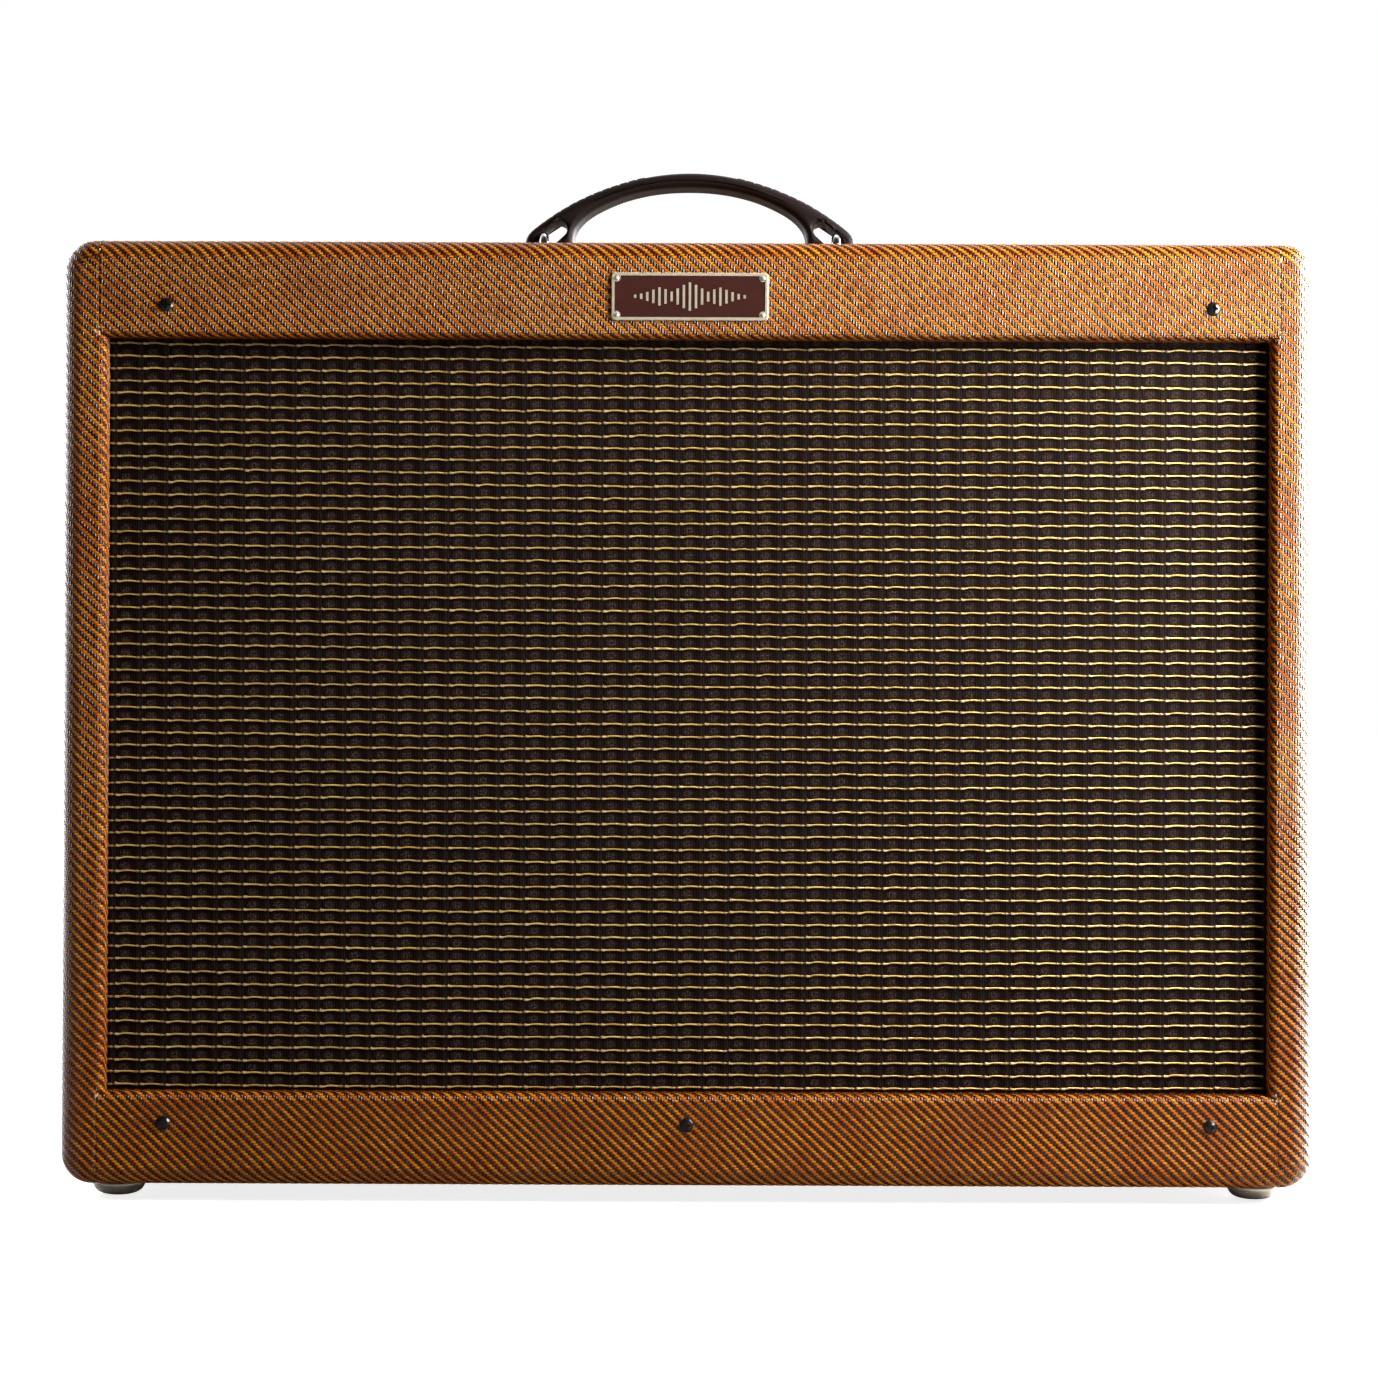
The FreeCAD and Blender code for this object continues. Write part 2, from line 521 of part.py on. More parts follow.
flange_holes = [rod_z(BOLT_HOLE_R, x, y, PANEL_BOT - 5, CAB_Z1) for x, y in BOLT_XY]
control_holes = [rod_z(radius, x, PANEL_Y, PANEL_BOT - 1, PANEL_TOP + 1)
                 for radius, places in PANEL_HOLES for x in places]
panel = panel_box(FLANGE_X, FLANGE_HALF_D, PANEL_BOT, PANEL_TOP)
write("control_panel", panel.cut(Part.makeCompound(control_holes + flange_holes)))

FLOOR_Z = CHASSIS_Z0 + SHEET_T
tray = panel_box(TRAY_X, TRAY_HALF_D, CHASSIS_Z0, PANEL_BOT)
tray = tray.makeFillet(3.0, edges_where(
    tray, lambda b: b.ZMax < CHASSIS_Z0 + TOL or b.ZLength > 40))
hollow = panel_box(TRAY_X - SHEET_T, TRAY_HALF_D - SHEET_T, FLOOR_Z, PANEL_BOT + 5)
hollow = hollow.makeFillet(1.5, edges_where(
    hollow, lambda b: b.ZMax < FLOOR_Z + TOL or b.ZLength > 40))
flange = panel_box(FLANGE_X, FLANGE_HALF_D, PANEL_BOT - SHEET_T, PANEL_BOT)
chassis = fuse([tray, flange]).cut(hollow).cut(Part.makeCompound(flange_holes))
for radius, x, y in ((6.1, FUSE_X, FUSE_Y), (3.6, CORD_X, CORD_Y)):
    chassis = chassis.cut(rod_z(radius, x, y, CHASSIS_Z0 - 1, CHASSIS_Z0 + 4))
write("chassis", chassis)


def chassis_bolt(x, y):
    """Round-headed bolt down through the top board, nut under the flange."""
    z = CAB_Z1 + 0.03
    under = PANEL_BOT - SHEET_T
    head = lathe_z([(0, z + 3.0), (2.0, z + 2.8), (3.8, z + 1.9), (4.9, z + 0.7),
                    (7.2, z + 0.35), (7.2, z), (BOLT_R, z), (BOLT_R, under - 7.5),
                    (0, under - 8)], x, y)
    bolt = fuse([head, hexagon(8.0, x, y, under - 4.5, under - GAP)])
    return bolt.cut(cross_z(x, y, z + 1.7, z + 5, 2.3, 0.5))


write("chassis_bolts", *[chassis_bolt(x, y) for x, y in BOLT_XY])

# --------------------------------------------------------------- controls
SHAFT_R = 3.0
BUSH_R = 4.75          # threaded bush of potentiometers and jacks
BUTTON_R = 3.6
PIVOT_Z = PANEL_TOP + 1.5
PIVOT_R = 0.8          # pivot pin across each toggle
TOGGLE_TILT = 12.0     # degrees
BODY_TOP = PANEL_BOT - GAP
# pointer knob seen from above: (x, y) from the shaft, beak towards the front
KNOB_PLAN = [(0, -15.0), (1.7, -11.5), (3.3, -4.0), (4.0, 1.5), (3.6, 6.4), (2.0, 9.2),
             (-2.0, 9.2), (-3.6, 6.4), (-4.0, 1.5), (-3.3, -4.0), (-1.7, -11.5)]
# side view of what is cut off above the beak: (y from the shaft, z above the panel)
KNOB_SLOPE = [(-16, 7.0), (-16, 30), (2, 30), (2, 16.6)]
# profiles of (radius, z above the panel)
SKIRT_PROFILE = [(0, 1.0), (9.6, 1.0), (9.4, 4.0), (7.6, 9.0), (0, 9.0)]
BUTTON_PROFILE = [(0, -9.5), (BUTTON_R, -9.5), (BUTTON_R, 5.6), (BUTTON_R - 0.6, 6.3), (0, 6.6)]
TOGGLE_BORE = [(0, -8), (2.6, -8), (2.6, 3.2), (4.2, 7.6), (4.2, 9), (0, 9)]
BEZEL_PROFILE = [(7.0, -6), (7.0, 0.02), (9.0, 0.02), (9.0, 1.4), (7.6, 3.6), (6.4, 3.6),
                 (6.0, 2.4), (6.0, -6)]
JEWEL_PROFILE = [(0, -12), (5.9, -12), (5.9, 3.8), (5.0, 6.6), (3.2, 8.8), (0, 9.4)]
# (radius, z above the pivot)
LEVER_PROFILE = [(0, -9), (1.2, -9), (1.2, -2), (1.5, 0), (1.5, 6), (2.6, 12.5),
                 (2.3, 14.3), (0, 15)]


def control_rod(radius, x, bottom, top):
    """Upright rod on the control line, heights from the panel top."""
    return rod_z(radius, x, PANEL_Y, PANEL_TOP + bottom, PANEL_TOP + top)


def bush(radius, x, top):
    return rod_z(radius, x, PANEL_Y, PANEL_BOT - 1, PANEL_TOP + top)


def panel_nut(across_flats, x, top):
    return hexagon(across_flats, x, PANEL_Y, PANEL_TOP + 0.02, PANEL_TOP + top)


def body_box(x, half_x, half_y, depth):
    return box(x - half_x, x + half_x, PANEL_Y - half_y, PANEL_Y + half_y,
               PANEL_TOP - depth, BODY_TOP)


def pivot_pin(radius, x, length):
    return Part.makeCylinder(radius, length, Vector(x - length / 2, PANEL_Y, PIVOT_Z),
                             Vector(1, 0, 0))


def knob(x):
    plan = [Vector(x + dx, PANEL_Y + dy, PANEL_TOP + 1.0) for dx, dy in KNOB_PLAN]
    beak = polygon_face(plan).extrude(Vector(0, 0, 15.6))
    slope = [Vector(x - 20, PANEL_Y + dy, PANEL_TOP + dz) for dy, dz in KNOB_SLOPE]
    beak = beak.cut(polygon_face(slope).extrude(Vector(40, 0, 0)))
    skirt = lathe_z(SKIRT_PROFILE, x, PANEL_Y, PANEL_TOP)
    shell = fuse([beak, skirt]).cut(control_rod(7.5, x, 0, 3.6))
    return fuse([shell, control_rod(SHAFT_R, x, -9.5, 8)])


def pot(x):
    can = rod_z(12.0, x, PANEL_Y, PANEL_TOP - 12.5, BODY_TOP)
    tab = box(x - 9, x + 9, PANEL_Y + 8, PANEL_Y + 18, PANEL_TOP - 8, PANEL_TOP - 5.5)
    shape = fuse([can, bush(BUSH_R, x, 3.0), panel_nut(11.5, x, 2.2), tab])
    return shape.cut(control_rod(SHAFT_R + GAP, x, -10, 5))


def jack(x):
    shape = fuse([body_box(x, 7.5, 7.5, 27.5), bush(BUSH_R, x, 3.0), panel_nut(13.0, x, 2.2)])
    return shape.cut(control_rod(3.25, x, -26.0, 5))


def button_body(x):
    shape = fuse([bush(5.2, x, 2.4), panel_nut(12.5, x, 1.9), body_box(x, 6.5, 6.5, 17)])
    return shape.cut(control_rod(BUTTON_R + GAP, x, -13, 5))


def toggle_body(x):
    shape = fuse([bush(5.9, x, 7.5), panel_nut(14.0, x, 2.4), body_box(x, 6.5, 12, 20)])
    tail_room = box(x - 2.6, x + 2.6, PANEL_Y - 5, PANEL_Y + 5, PANEL_TOP - 14, PANEL_TOP - 4)
    shape = shape.cut(lathe_z(TOGGLE_BORE, x, PANEL_Y, PANEL_TOP)).cut(tail_room)
    return shape.cut(pivot_pin(PIVOT_R + GAP, x, 7.4))


def toggle_lever(x):
    lever = lathe_z(LEVER_PROFILE, x, PANEL_Y, PIVOT_Z)
    pivot = Vector(x, PANEL_Y, PIVOT_Z)
    lever = lever.fuse(Part.makeSphere(2.55, pivot)).fuse(pivot_pin(PIVOT_R, x, 7.0))
    lever = lever.removeSplitter()
    lever.rotate(pivot, Vector(1, 0, 0), -TOGGLE_TILT)
    return lever


for name, x in KNOB_X.items():
    write("knob_" + name, knob(x))
write("potentiometers", *[pot(x) for x in KNOB_X.values()])
write("jack_sockets", *[jack(x) for x in JACK_X])
write("switch_bodies", *[button_body(x) for x in BUTTON_X.values()],
      *[toggle_body(x) for x in TOGGLE_X.values()])
for name, x in BUTTON_X.items():
    write(name, lathe_z(BUTTON_PROFILE, x, PANEL_Y, PANEL_TOP))
for name, x in TOGGLE_X.items():
    write(name, toggle_lever(x))
write("pilot_bezel", lathe_z(BEZEL_PROFILE, PILOT_X, PANEL_Y, PANEL_TOP))
write("pilot_jewel", lathe_z(JEWEL_PROFILE, PILOT_X, PANEL_Y, PANEL_TOP))

# (radius, z from the chassis underside)
FUSE_PROFILE = [(0, -15), (6.2, -15), (7.0, -13), (7.0, -6), (8.4, -5), (8.4, -GAP),
                (6.0, -GAP), (6.0, 24), (0, 24)]
write("fuse_cap", lathe_z(FUSE_PROFILE, FUSE_X, FUSE_Y, CHASSIS_Z0))

# ------------------------------------------------ electronics in the tray
CIRCUIT_Z = FLOOR_Z + 9


def circuit_board():
    """Board on four pillars, with two rows of blocks and a row of cans."""
    parts = [panel_box(205, 27, CIRCUIT_Z, CIRCUIT_Z + 2.0)]
    for x, y in corners(196, 21, 0.0, PANEL_Y):
        parts.append(rod_z(3.0, x, y, FLOOR_Z + GAP, CIRCUIT_Z + 0.5))
    for i in range(13):
        x = -180 + i * 30
        parts.append(box(x - 8, x + 8, 52, 58, CIRCUIT_Z + 1, CIRCUIT_Z + 7))
        parts.append(box(x - 6, x + 6, 66, 69, CIRCUIT_Z + 1, CIRCUIT_Z + 5))
    for x in (-100, -60, 40, 80, 120):
        parts.append(rod_z(7.5, x, 86, CIRCUIT_Z + 1, CIRCUIT_Z + 17))
    # room for the fuse holder
    return fuse(parts).cut(rod_z(8, FUSE_X, FUSE_Y, CIRCUIT_Z - 5, CIRCUIT_Z + 25))


write("circuit_board", circuit_board())


def transformer(x, width, depth, height, core_h):
    """Laminated core between two pressed end bells, hung under the chassis."""
    top = CHASSIS_Z0 - GAP
    core_z0, core_z1 = top - height / 2 - core_h / 2, top - height / 2 + core_h / 2
    half_x, half_y = width / 2, depth / 2
    core = box(x - half_x, x + half_x, PANEL_Y - half_y, PANEL_Y + half_y, core_z0, core_z1)
    bell = box(x - half_x + 6, x + half_x - 6, PANEL_Y - half_y + 5, PANEL_Y + half_y - 5,
               top - height, top)
    bell = bell.makeFillet(6.0, edges_where(
        bell, lambda b: b.ZLength > 20 or b.ZMax < top - height + TOL))
    parts = [core, bell]
    for sx, sy in corners(1, 1):
        parts.append(rod_z(2.4, x + sx * (half_x - 4), PANEL_Y + sy * (half_y - 4),
                           core_z0 - 7, top))
        parts.append(hexagon(7.5, x + sx * (half_x - 4.5), PANEL_Y + sy * (half_y - 4.5),
                             core_z0 - 4, top - height / 2))
    return fuse(parts)


write("power_transformer", transformer(-200.0, 82.0, 70.0, 82.0, 34.0))
write("output_transformer", transformer(0.0, 62.0, 54.0, 58.0, 24.0))

# ----------------------------------------------------------------- valves
POWER_TUBE_X = [-112.0, -62.0]
PREAMP_TUBE_X = [60.0, 100.0, 140.0]
# sockets: (radius, z from the chassis underside)
POWER_SOCKET = [(8, -6), (17.5, -6), (17.5, -2), (21, -1.4), (21, -GAP), (8, -GAP)]
PREAMP_SOCKET = [(6, -5), (11.5, -5), (11.5, -1.5), (14, -1.2), (14, -GAP), (6, -GAP)]
# tube and shield: (radius, z from just under the socket)
POWER_TUBE = [(0, 0), (16.2, 0), (16.2, -14), (15.4, -16), (17.6, -26), (17.8, -60),
              (16.9, -78), (13.0, -90), (6.0, -96.5), (0, -98)]
SHIELD = [(0, 0), (11.8, 0), (11.8, -50), (10.2, -55), (6.0, -56), (6.0, -53), (0, -52)]


def hang(profile, places, drop):
    """Turned pieces under the chassis, on the control line."""
    return [lathe_z(profile, x, PANEL_Y, CHASSIS_Z0 - drop) for x in places]


write("tube_sockets", *hang(POWER_SOCKET, POWER_TUBE_X, 0), *hang(PREAMP_SOCKET, PREAMP_TUBE_X, 0))
write("power_tubes", *hang(POWER_TUBE, POWER_TUBE_X, 6.1))
write("preamp_tube_shields", *hang(SHIELD, PREAMP_TUBE_X, 5.1))

# ------------------------------------------------------------ loudspeaker
SPEAKER_Y = BAFFLE_Y1 + 0.1                # front of the speaker flange
TERM_X, TERM_Z = 12.0, SPEAKER_Z + 93.0    # terminal block on the upper rib
TERM_BACK = SPEAKER_Y + 59
# profiles of (radius, y behind the flange front)
FRAME_PROFILE = [(139.0, 0), (155.0, 0), (155.0, 1.9), (140.0, 1.9), (134.5, 9.4), (64.0, 75.5),
                 (64.0, 80), (28.0, 80), (28.0, 78.4), (62.4, 78.4), (62.4, 74.8), (133.0, 8.6)]
MAGNET_PROFILE = [(0, 79), (24.2, 79), (24.2, 108), (27.2, 108), (27.2, 80.1), (74, 80.1),
                  (74, 88), (78, 88.5), (78, 108), (72, 108.5), (72, 116), (54, 118),
                  (47, 126), (40, 129.5), (0, 130)]
CONE_PROFILE = [(128.0, 3.0), (128.0, 4.2), (25.9, 46.0), (25.9, 92), (25.1, 92),
                (25.1, 44.9), (127.4, 3.0)]
DUST_CAP_PROFILE = [(0, 27.0), (12, 28.0), (24, 32.6), (33.4, 39.6), (32.6, 40.3),
                    (23.6, 33.5), (11.8, 28.9), (0, 27.9)]
SURROUND_PROFILE = [(128.3, 2.6), (135.6, 2.6), (135.6, 3.6), (128.3, 3.6)]
SPEAKER_BOLT_PROFILE = [(0, 5.6), (3.0, 5.2), (4.6, 3.6), (4.6, 1.95), (2.5, 1.95),
                        (2.5, -11), (0, -13.5)]
# four windows in the basket: radii and angles in degrees
WINDOW_OUTER_R, WINDOW_INNER_R, WINDOW_ANGLE, WINDOW_START = 126, 76, 66, 12


def speaker_turned(profile):
    return lathe_y(profile, 0, SPEAKER_Z, SPEAKER_Y)


def speaker_frame():
    frame = speaker_turned(FRAME_PROFILE)
    windows = []
    for i in range(4):
        sector = Part.makeCylinder(WINDOW_OUTER_R, 80, Vector(0, SPEAKER_Y + 5, SPEAKER_Z),
                                   Y_AXIS, WINDOW_ANGLE)
        window = sector.cut(rod_y(WINDOW_INNER_R, 0, SPEAKER_Z, SPEAKER_Y, SPEAKER_Y + 90))
        window.rotate(Vector(0, 0, SPEAKER_Z), Y_AXIS, WINDOW_START + 90 * i)
        windows.append(window)
    frame = frame.cut(Part.makeCompound(windows))
    block = box(TERM_X - 7, TERM_X + 7, SPEAKER_Y + 43, TERM_BACK, TERM_Z - 6, TERM_Z + 6)
    frame = frame.fuse(block).removeSplitter()
    return frame.cut(Part.makeCompound([rod_y(2.75, x, z, SPEAKER_Y - 1, SPEAKER_Y + 4)
                                        for x, z in speaker_bolt_xz]))


write("speaker_frame", speaker_frame())
write("speaker_magnet", speaker_turned(MAGNET_PROFILE))
write("speaker_cone", speaker_turned(CONE_PROFILE))
write("speaker_dust_cap", speaker_turned(DUST_CAP_PROFILE))
write("speaker_surround", speaker_turned(SURROUND_PROFILE))
write("speaker_bolts", *[lathe_y(SPEAKER_BOLT_PROFILE, x, z, SPEAKER_Y)
                         for x, z in speaker_bolt_xz])

# ------------------------------------------------------------ reverb tank
TANK_X, TANK_Y = 61.0, 49.0                # centre
TANK_HALF_W, TANK_HALF_D = 213.0, 53.0
TANK_TOP = INNER_Z0 + 36
OUTLET_X = [TANK_X - 189.0, TANK_X + 189.0]
OUTLET_TOP = TANK_TOP + 10


def tank_box(inset, z0, z1):
    half_x, half_y = TANK_HALF_W - inset, TANK_HALF_D - inset
    return box(TANK_X - half_x, TANK_X + half_x, TANK_Y - half_y, TANK_Y + half_y, z0, z1)


tank = tank_box(0, INNER_Z0 + 3.1, TANK_TOP)
tank = tank.makeFillet(2.5, edges_where(
    tank, lambda b: b.ZLength > 20 or b.ZMin > TANK_TOP - 0.1))
tank = tank.cut(tank_box(1, INNER_Z0 + 2, TANK_TOP - 1))
feet = [rod_z(5.0, x, y, INNER_Z0 + GAP, TANK_TOP - 0.5)
        for x, y in corners(TANK_HALF_W - 16, TANK_HALF_D - 14, TANK_X, TANK_Y)]
outlets = [rod_z(4.2, x, TANK_Y, TANK_TOP - 1, OUTLET_TOP) for x in OUTLET_X]
write("reverb_tank", fuse([tank] + feet + outlets))

# ----------------------------------------------------------------- cables
COIL_X, COIL_Y, COIL_R = -216, 46, 44
COIL_TOP, COIL_DROP, COIL_TURNS, COIL_STEPS = 76, 34.0, 2.2, 22
COIL_START = -52       # degrees


def mains_cord():
    """Cord down from the chassis, coiled near the cabinet floor."""
    points = [(CORD_X, CORD_Y, CHASSIS_Z0 + dz) for dz in (6, -3, -12)]
    points += [(-148, 48, 330), (-163, 30, 250), (-182, 12, 170), (-176, 10, 110)]
    for i in range(COIL_STEPS + 1):
        angle = math.radians(COIL_START + 360 * COIL_TURNS * i / COIL_STEPS)
        points.append((COIL_X + COIL_R * math.cos(angle), COIL_Y + COIL_R * math.sin(angle),
                       COIL_TOP - COIL_DROP * i / COIL_STEPS))
    return pipe(points, 3.3)


def hung_cable(x, y, route, radius):
    """Cable straight down from under the chassis at x, y, then along the route."""
    return pipe([(x, y, CHASSIS_Z0 - 0.4), (x, y, CHASSIS_Z0 - 6)] + route, radius)


def outlet_end(x):
    return [(x, TANK_Y, OUTLET_TOP + 6), (x, TANK_Y, OUTLET_TOP + 0.4)]


speaker_cable = hung_cable(44, 62, [
    (44, 52, CHASSIS_Z0 - 27), (36, 14, 323), (18, -18, TERM_Z + 1),
    (TERM_X, TERM_BACK + 7.0, TERM_Z), (TERM_X, TERM_BACK + 0.8, TERM_Z)], 2.2)
reverb_left = hung_cable(24, 101, [
    (24, 102, CHASSIS_Z0 - 25), (10, 104, 290), (-60, 104, 180), (-118, 80, 110),
    (-128, 52, 88)] + outlet_end(OUTLET_X[0]), 2.0)
reverb_right = hung_cable(168, 84, [
    (168, 86, CHASSIS_Z0 - 25), (176, 96, 290), (214, 100, 180), (246, 78, 110),
    (250, 52, 88)] + outlet_end(OUTLET_X[1]), 2.0)
write("cables", mains_cord(), speaker_cable, reverb_left, reverb_right)
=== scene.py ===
import math

import bmesh
import bpy
import numpy as np
from mathutils import Matrix, Vector


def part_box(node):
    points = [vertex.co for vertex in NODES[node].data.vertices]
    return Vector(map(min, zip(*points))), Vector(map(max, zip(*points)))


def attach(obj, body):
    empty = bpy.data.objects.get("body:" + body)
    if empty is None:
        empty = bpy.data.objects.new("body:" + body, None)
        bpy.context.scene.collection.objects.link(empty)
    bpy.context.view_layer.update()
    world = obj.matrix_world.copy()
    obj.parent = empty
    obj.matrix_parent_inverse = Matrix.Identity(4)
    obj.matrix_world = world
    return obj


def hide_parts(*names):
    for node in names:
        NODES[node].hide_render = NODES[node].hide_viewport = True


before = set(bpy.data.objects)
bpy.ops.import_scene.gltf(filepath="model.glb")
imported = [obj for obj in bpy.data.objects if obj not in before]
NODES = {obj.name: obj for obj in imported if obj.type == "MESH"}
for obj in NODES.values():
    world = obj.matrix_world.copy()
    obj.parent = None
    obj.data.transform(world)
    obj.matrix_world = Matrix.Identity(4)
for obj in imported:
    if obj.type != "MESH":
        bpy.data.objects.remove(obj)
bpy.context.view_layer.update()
MM = 0.001
PI = math.pi
QUARTER = PI / 2
rng = np.random.default_rng(7)

# ---------------------------------------------------------------- dimensions
right_lo, right_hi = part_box("tweed_right")
top_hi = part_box("tweed_top")[1]
HALF_X, HALF_Y = right_hi.x, top_hi.y
BASE_Z, TOP_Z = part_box("tweed_bottom")[0].z, top_hi.z
SEAM_X = top_hi.x                        # where the side and top coverings meet
OPEN_X = right_lo.x                      # side edge of the front opening
OPEN_Z0, OPEN_Z1 = BASE_Z + 43.4 * MM, TOP_Z - 45.3 * MM
R_CORNER, R_FRONT, R_BACK = 14 * MM, 9 * MM, 5 * MM
R_OPEN, R_PANEL = 3 * MM, 4 * MM
RAIL_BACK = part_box("front_rails")[1].y
INNER_Z0, INNER_Z1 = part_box("bottom_panel")[1].z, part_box("top_panel")[0].z
INNER_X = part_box("side_panel_right")[0].x
COVER = HALF_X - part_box("side_panel_right")[1].x     # thickness of the covering
PANEL_X, PANEL_Y0, PANEL_Y1 = 245 * MM, 32 * MM, 110 * MM    # opening for the control panel

WARP, WEFT = 1.266 * MM, 1.189 * MM      # pitch of the yarns across and along the covering
FADE = 26 * MM                           # length over which the modelled relief dies out
UV_SHIFT = 400.0                         # keeps the yarn coordinates positive
SEAM_SINK = -1.7                         # relief along the seams
RELIEF = 0.00012                         # height of a yarn float


# ------------------------------------------------------- shader expressions
def operator(kind, swapped=False):
    """A method that makes a Math node of the given kind."""
    def apply(self, other=None):
        first, second = (other, self) if swapped else (self, other)
        return self.tree.math(kind, first, second)
    return apply


class Expr:
    """A value in a node tree, with arithmetic that makes Math nodes."""

    def __init__(self, tree, socket):
        self.tree, self.socket = tree, socket

    __add__ = operator("ADD")
    __radd__ = operator("ADD", swapped=True)
    __sub__ = operator("SUBTRACT")
    __rsub__ = operator("SUBTRACT", swapped=True)
    __mul__ = operator("MULTIPLY")
    __rmul__ = operator("MULTIPLY", swapped=True)
    __truediv__ = operator("DIVIDE")
    __mod__ = operator("MODULO")
    __gt__ = operator("GREATER_THAN")
    __pow__ = operator("POWER")
    floor = operator("FLOOR")
    fract = operator("FRACT")
    abs = operator("ABSOLUTE")
    sqrt = operator("SQRT")
    sin = operator("SINE")
    max = operator("MAXIMUM")
    min = operator("MINIMUM")


class Nodes:
    """Writes nodes into a tree and hands their outputs back as Exprs."""

    def __init__(self, tree):
        self.tree = tree
        tree.nodes.clear()

    def put(self, value, socket):
        if isinstance(value, Expr):
            self.tree.links.new(value.socket, socket)
        elif isinstance(value, tuple) and len(value) == 3 and len(socket.default_value) == 4:
            socket.default_value = (*value, 1)
        else:
            socket.default_value = value

    def node(self, kind, inputs=None, output=0, **settings):
        made = self.tree.nodes.new("ShaderNode" + kind)
        for key, value in settings.items():
            setattr(made, key, value)
        for key, value in (inputs or {}).items():
            self.put(value, made.inputs[key])
        return Expr(self, made.outputs[output])

    def math(self, kind, a, b=None):
        return self.node("Math", {0: a} if b is None else {0: a, 1: b}, operation=kind)

    def split(self, vector):
        x = self.node("SeparateXYZ", {0: vector})
        return [Expr(self, socket) for socket in x.socket.node.outputs]

    def uv(self):
        return self.node("UVMap", uv_map="weave")

    def obj(self):
        return self.node("TexCoord", output="Object")

    def stretch(self, vector, by):
        by = by if isinstance(by, tuple) else (by, by, by)
        return self.node("VectorMath", {0: vector, 1: by}, operation="MULTIPLY")

    def shift(self, vector, by):
        return self.node("VectorMath", {0: vector, 1: by}, operation="ADD")

    def scale(self, colour, by):
        return self.node("VectorMath", {0: colour, 3: by}, operation="SCALE")

    def noise(self, vector, scale, detail=2.0, rough=0.5, distort=0.0):
        return self.node("TexNoise", {"Vector": vector, "Scale": scale, "Detail": detail,
                                      "Roughness": rough, "Distortion": distort})

    def chance(self, x, y, z):
        """A random value for each combination of x, y and z."""
        place = self.node("CombineXYZ", {0: x, 1: y, 2: z})
        return self.node("TexWhiteNoise", {"Vector": place}, noise_dimensions="3D")

    def voronoi(self, vector, scale):
        return self.node("TexVoronoi", {"Vector": vector, "Scale": scale})

    def ramp(self, value, span, to=(0.0, 1.0)):
        """Smooth step from to[0] at span[0] to to[1] at span[1]."""
        return self.node("MapRange", {0: value, 1: span[0], 2: span[1], 3: to[0], 4: to[1]},
                         interpolation_type="SMOOTHSTEP", clamp=True)

    def mix(self, factor, a, b):
        """Colour a where factor is 0, b where it is 1."""
        return self.node("Mix", {0: factor, 6: a, 7: b}, output=2,
                         data_type="RGBA", clamp_factor=True)

    def select(self, factor, a, b):
        """The same for plain values."""
        return self.node("Mix", {0: factor, 2: a, 3: b}, data_type="FLOAT")

    def bump(self, height, depth, strength=1.0):
        return self.node("Bump", {"Strength": strength, "Distance": depth, "Height": height})


class Shader(Nodes):
    """A material with one Principled surface."""

    SOCKETS = {"color": "Base Color", "rough": "Roughness", "metal": "Metallic",
               "normal": "Normal", "coat": "Coat Weight", "coat_rough": "Coat Roughness",
               "coat_normal": "Coat Normal", "spec": "Specular IOR Level",
               "sheen": "Sheen Weight", "trans": "Transmission Weight", "ior": "IOR",
               "sss": "Subsurface Weight"}

    def __init__(self, name):
        self.material = bpy.data.materials.new(name)
        self.material.use_nodes = True
        super().__init__(self.material.node_tree)
        self.out = self.tree.nodes.new("ShaderNodeOutputMaterial")
        self.bsdf = self.tree.nodes.new("ShaderNodeBsdfPrincipled")
        self.tree.links.new(self.bsdf.outputs[0], self.out.inputs[0])

    def set(self, **values):
        for key, value in values.items():
            self.put(value, self.bsdf.inputs[self.SOCKETS[key]])
        return self.material


def darker(colour, by):
    return tuple(c * by for c in colour)


# ---------------------------------------------------------- objects and meshes
def place(name, me, material, smooth=True):
    """Link a mesh into the scene as an object with one material."""
    if smooth:
        me.shade_smooth()
    ob = bpy.data.objects.new(name, me)
    bpy.context.scene.collection.objects.link(ob)
    ob.data.materials.append(material)
    return ob


def tell(ob, node, slot, body="cabinet"):
    """Hide the node a piece replaces, if any, and hang the piece on the body it rides on; slot is
    not used.
    """
    if node:
        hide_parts(node)
    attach(ob, body)


def split_edges(ob, degrees):
    modifier = ob.modifiers.new("edge_split_angle", "EDGE_SPLIT")
    modifier.split_angle = math.radians(degrees)
    modifier.use_edge_sharp = False


def thicken(ob, thickness):
    modifier = ob.modifiers.new("thickness", "SOLIDIFY")
    modifier.thickness = thickness
    modifier.offset = -1


def to_mesh(bm, name, recalc=False):
    if recalc:
        bmesh.ops.recalc_face_normals(bm, faces=bm.faces)
    me = bpy.data.meshes.new(name)
    bm.to_mesh(me)
    bm.free()
    return me


def skin(bm, rings, turned=False):
    """Faces between successive rings of vertices; a ring of one vertex is a pole."""
    for a, b in zip(rings[:-1], rings[1:]):
        count = max(len(a), len(b))
        if count == 1:
            continue
        for i in range(count):
            j = (i + 1) % count
            if len(a) == 1:
                corners = (a[0], b[i], b[j]) if turned else (a[0], b[j], b[i])
            elif len(b) == 1:
                corners = (a[j], a[i], b[0]) if turned else (a[i], a[j], b[0])
            else:
                corners = (a[i], b[i], b[j], a[j]) if turned else (a[i], a[j], b[j], b[i])
            bm.faces.new(corners)


def around(count):
    return [2 * PI * k / count for k in range(count)]


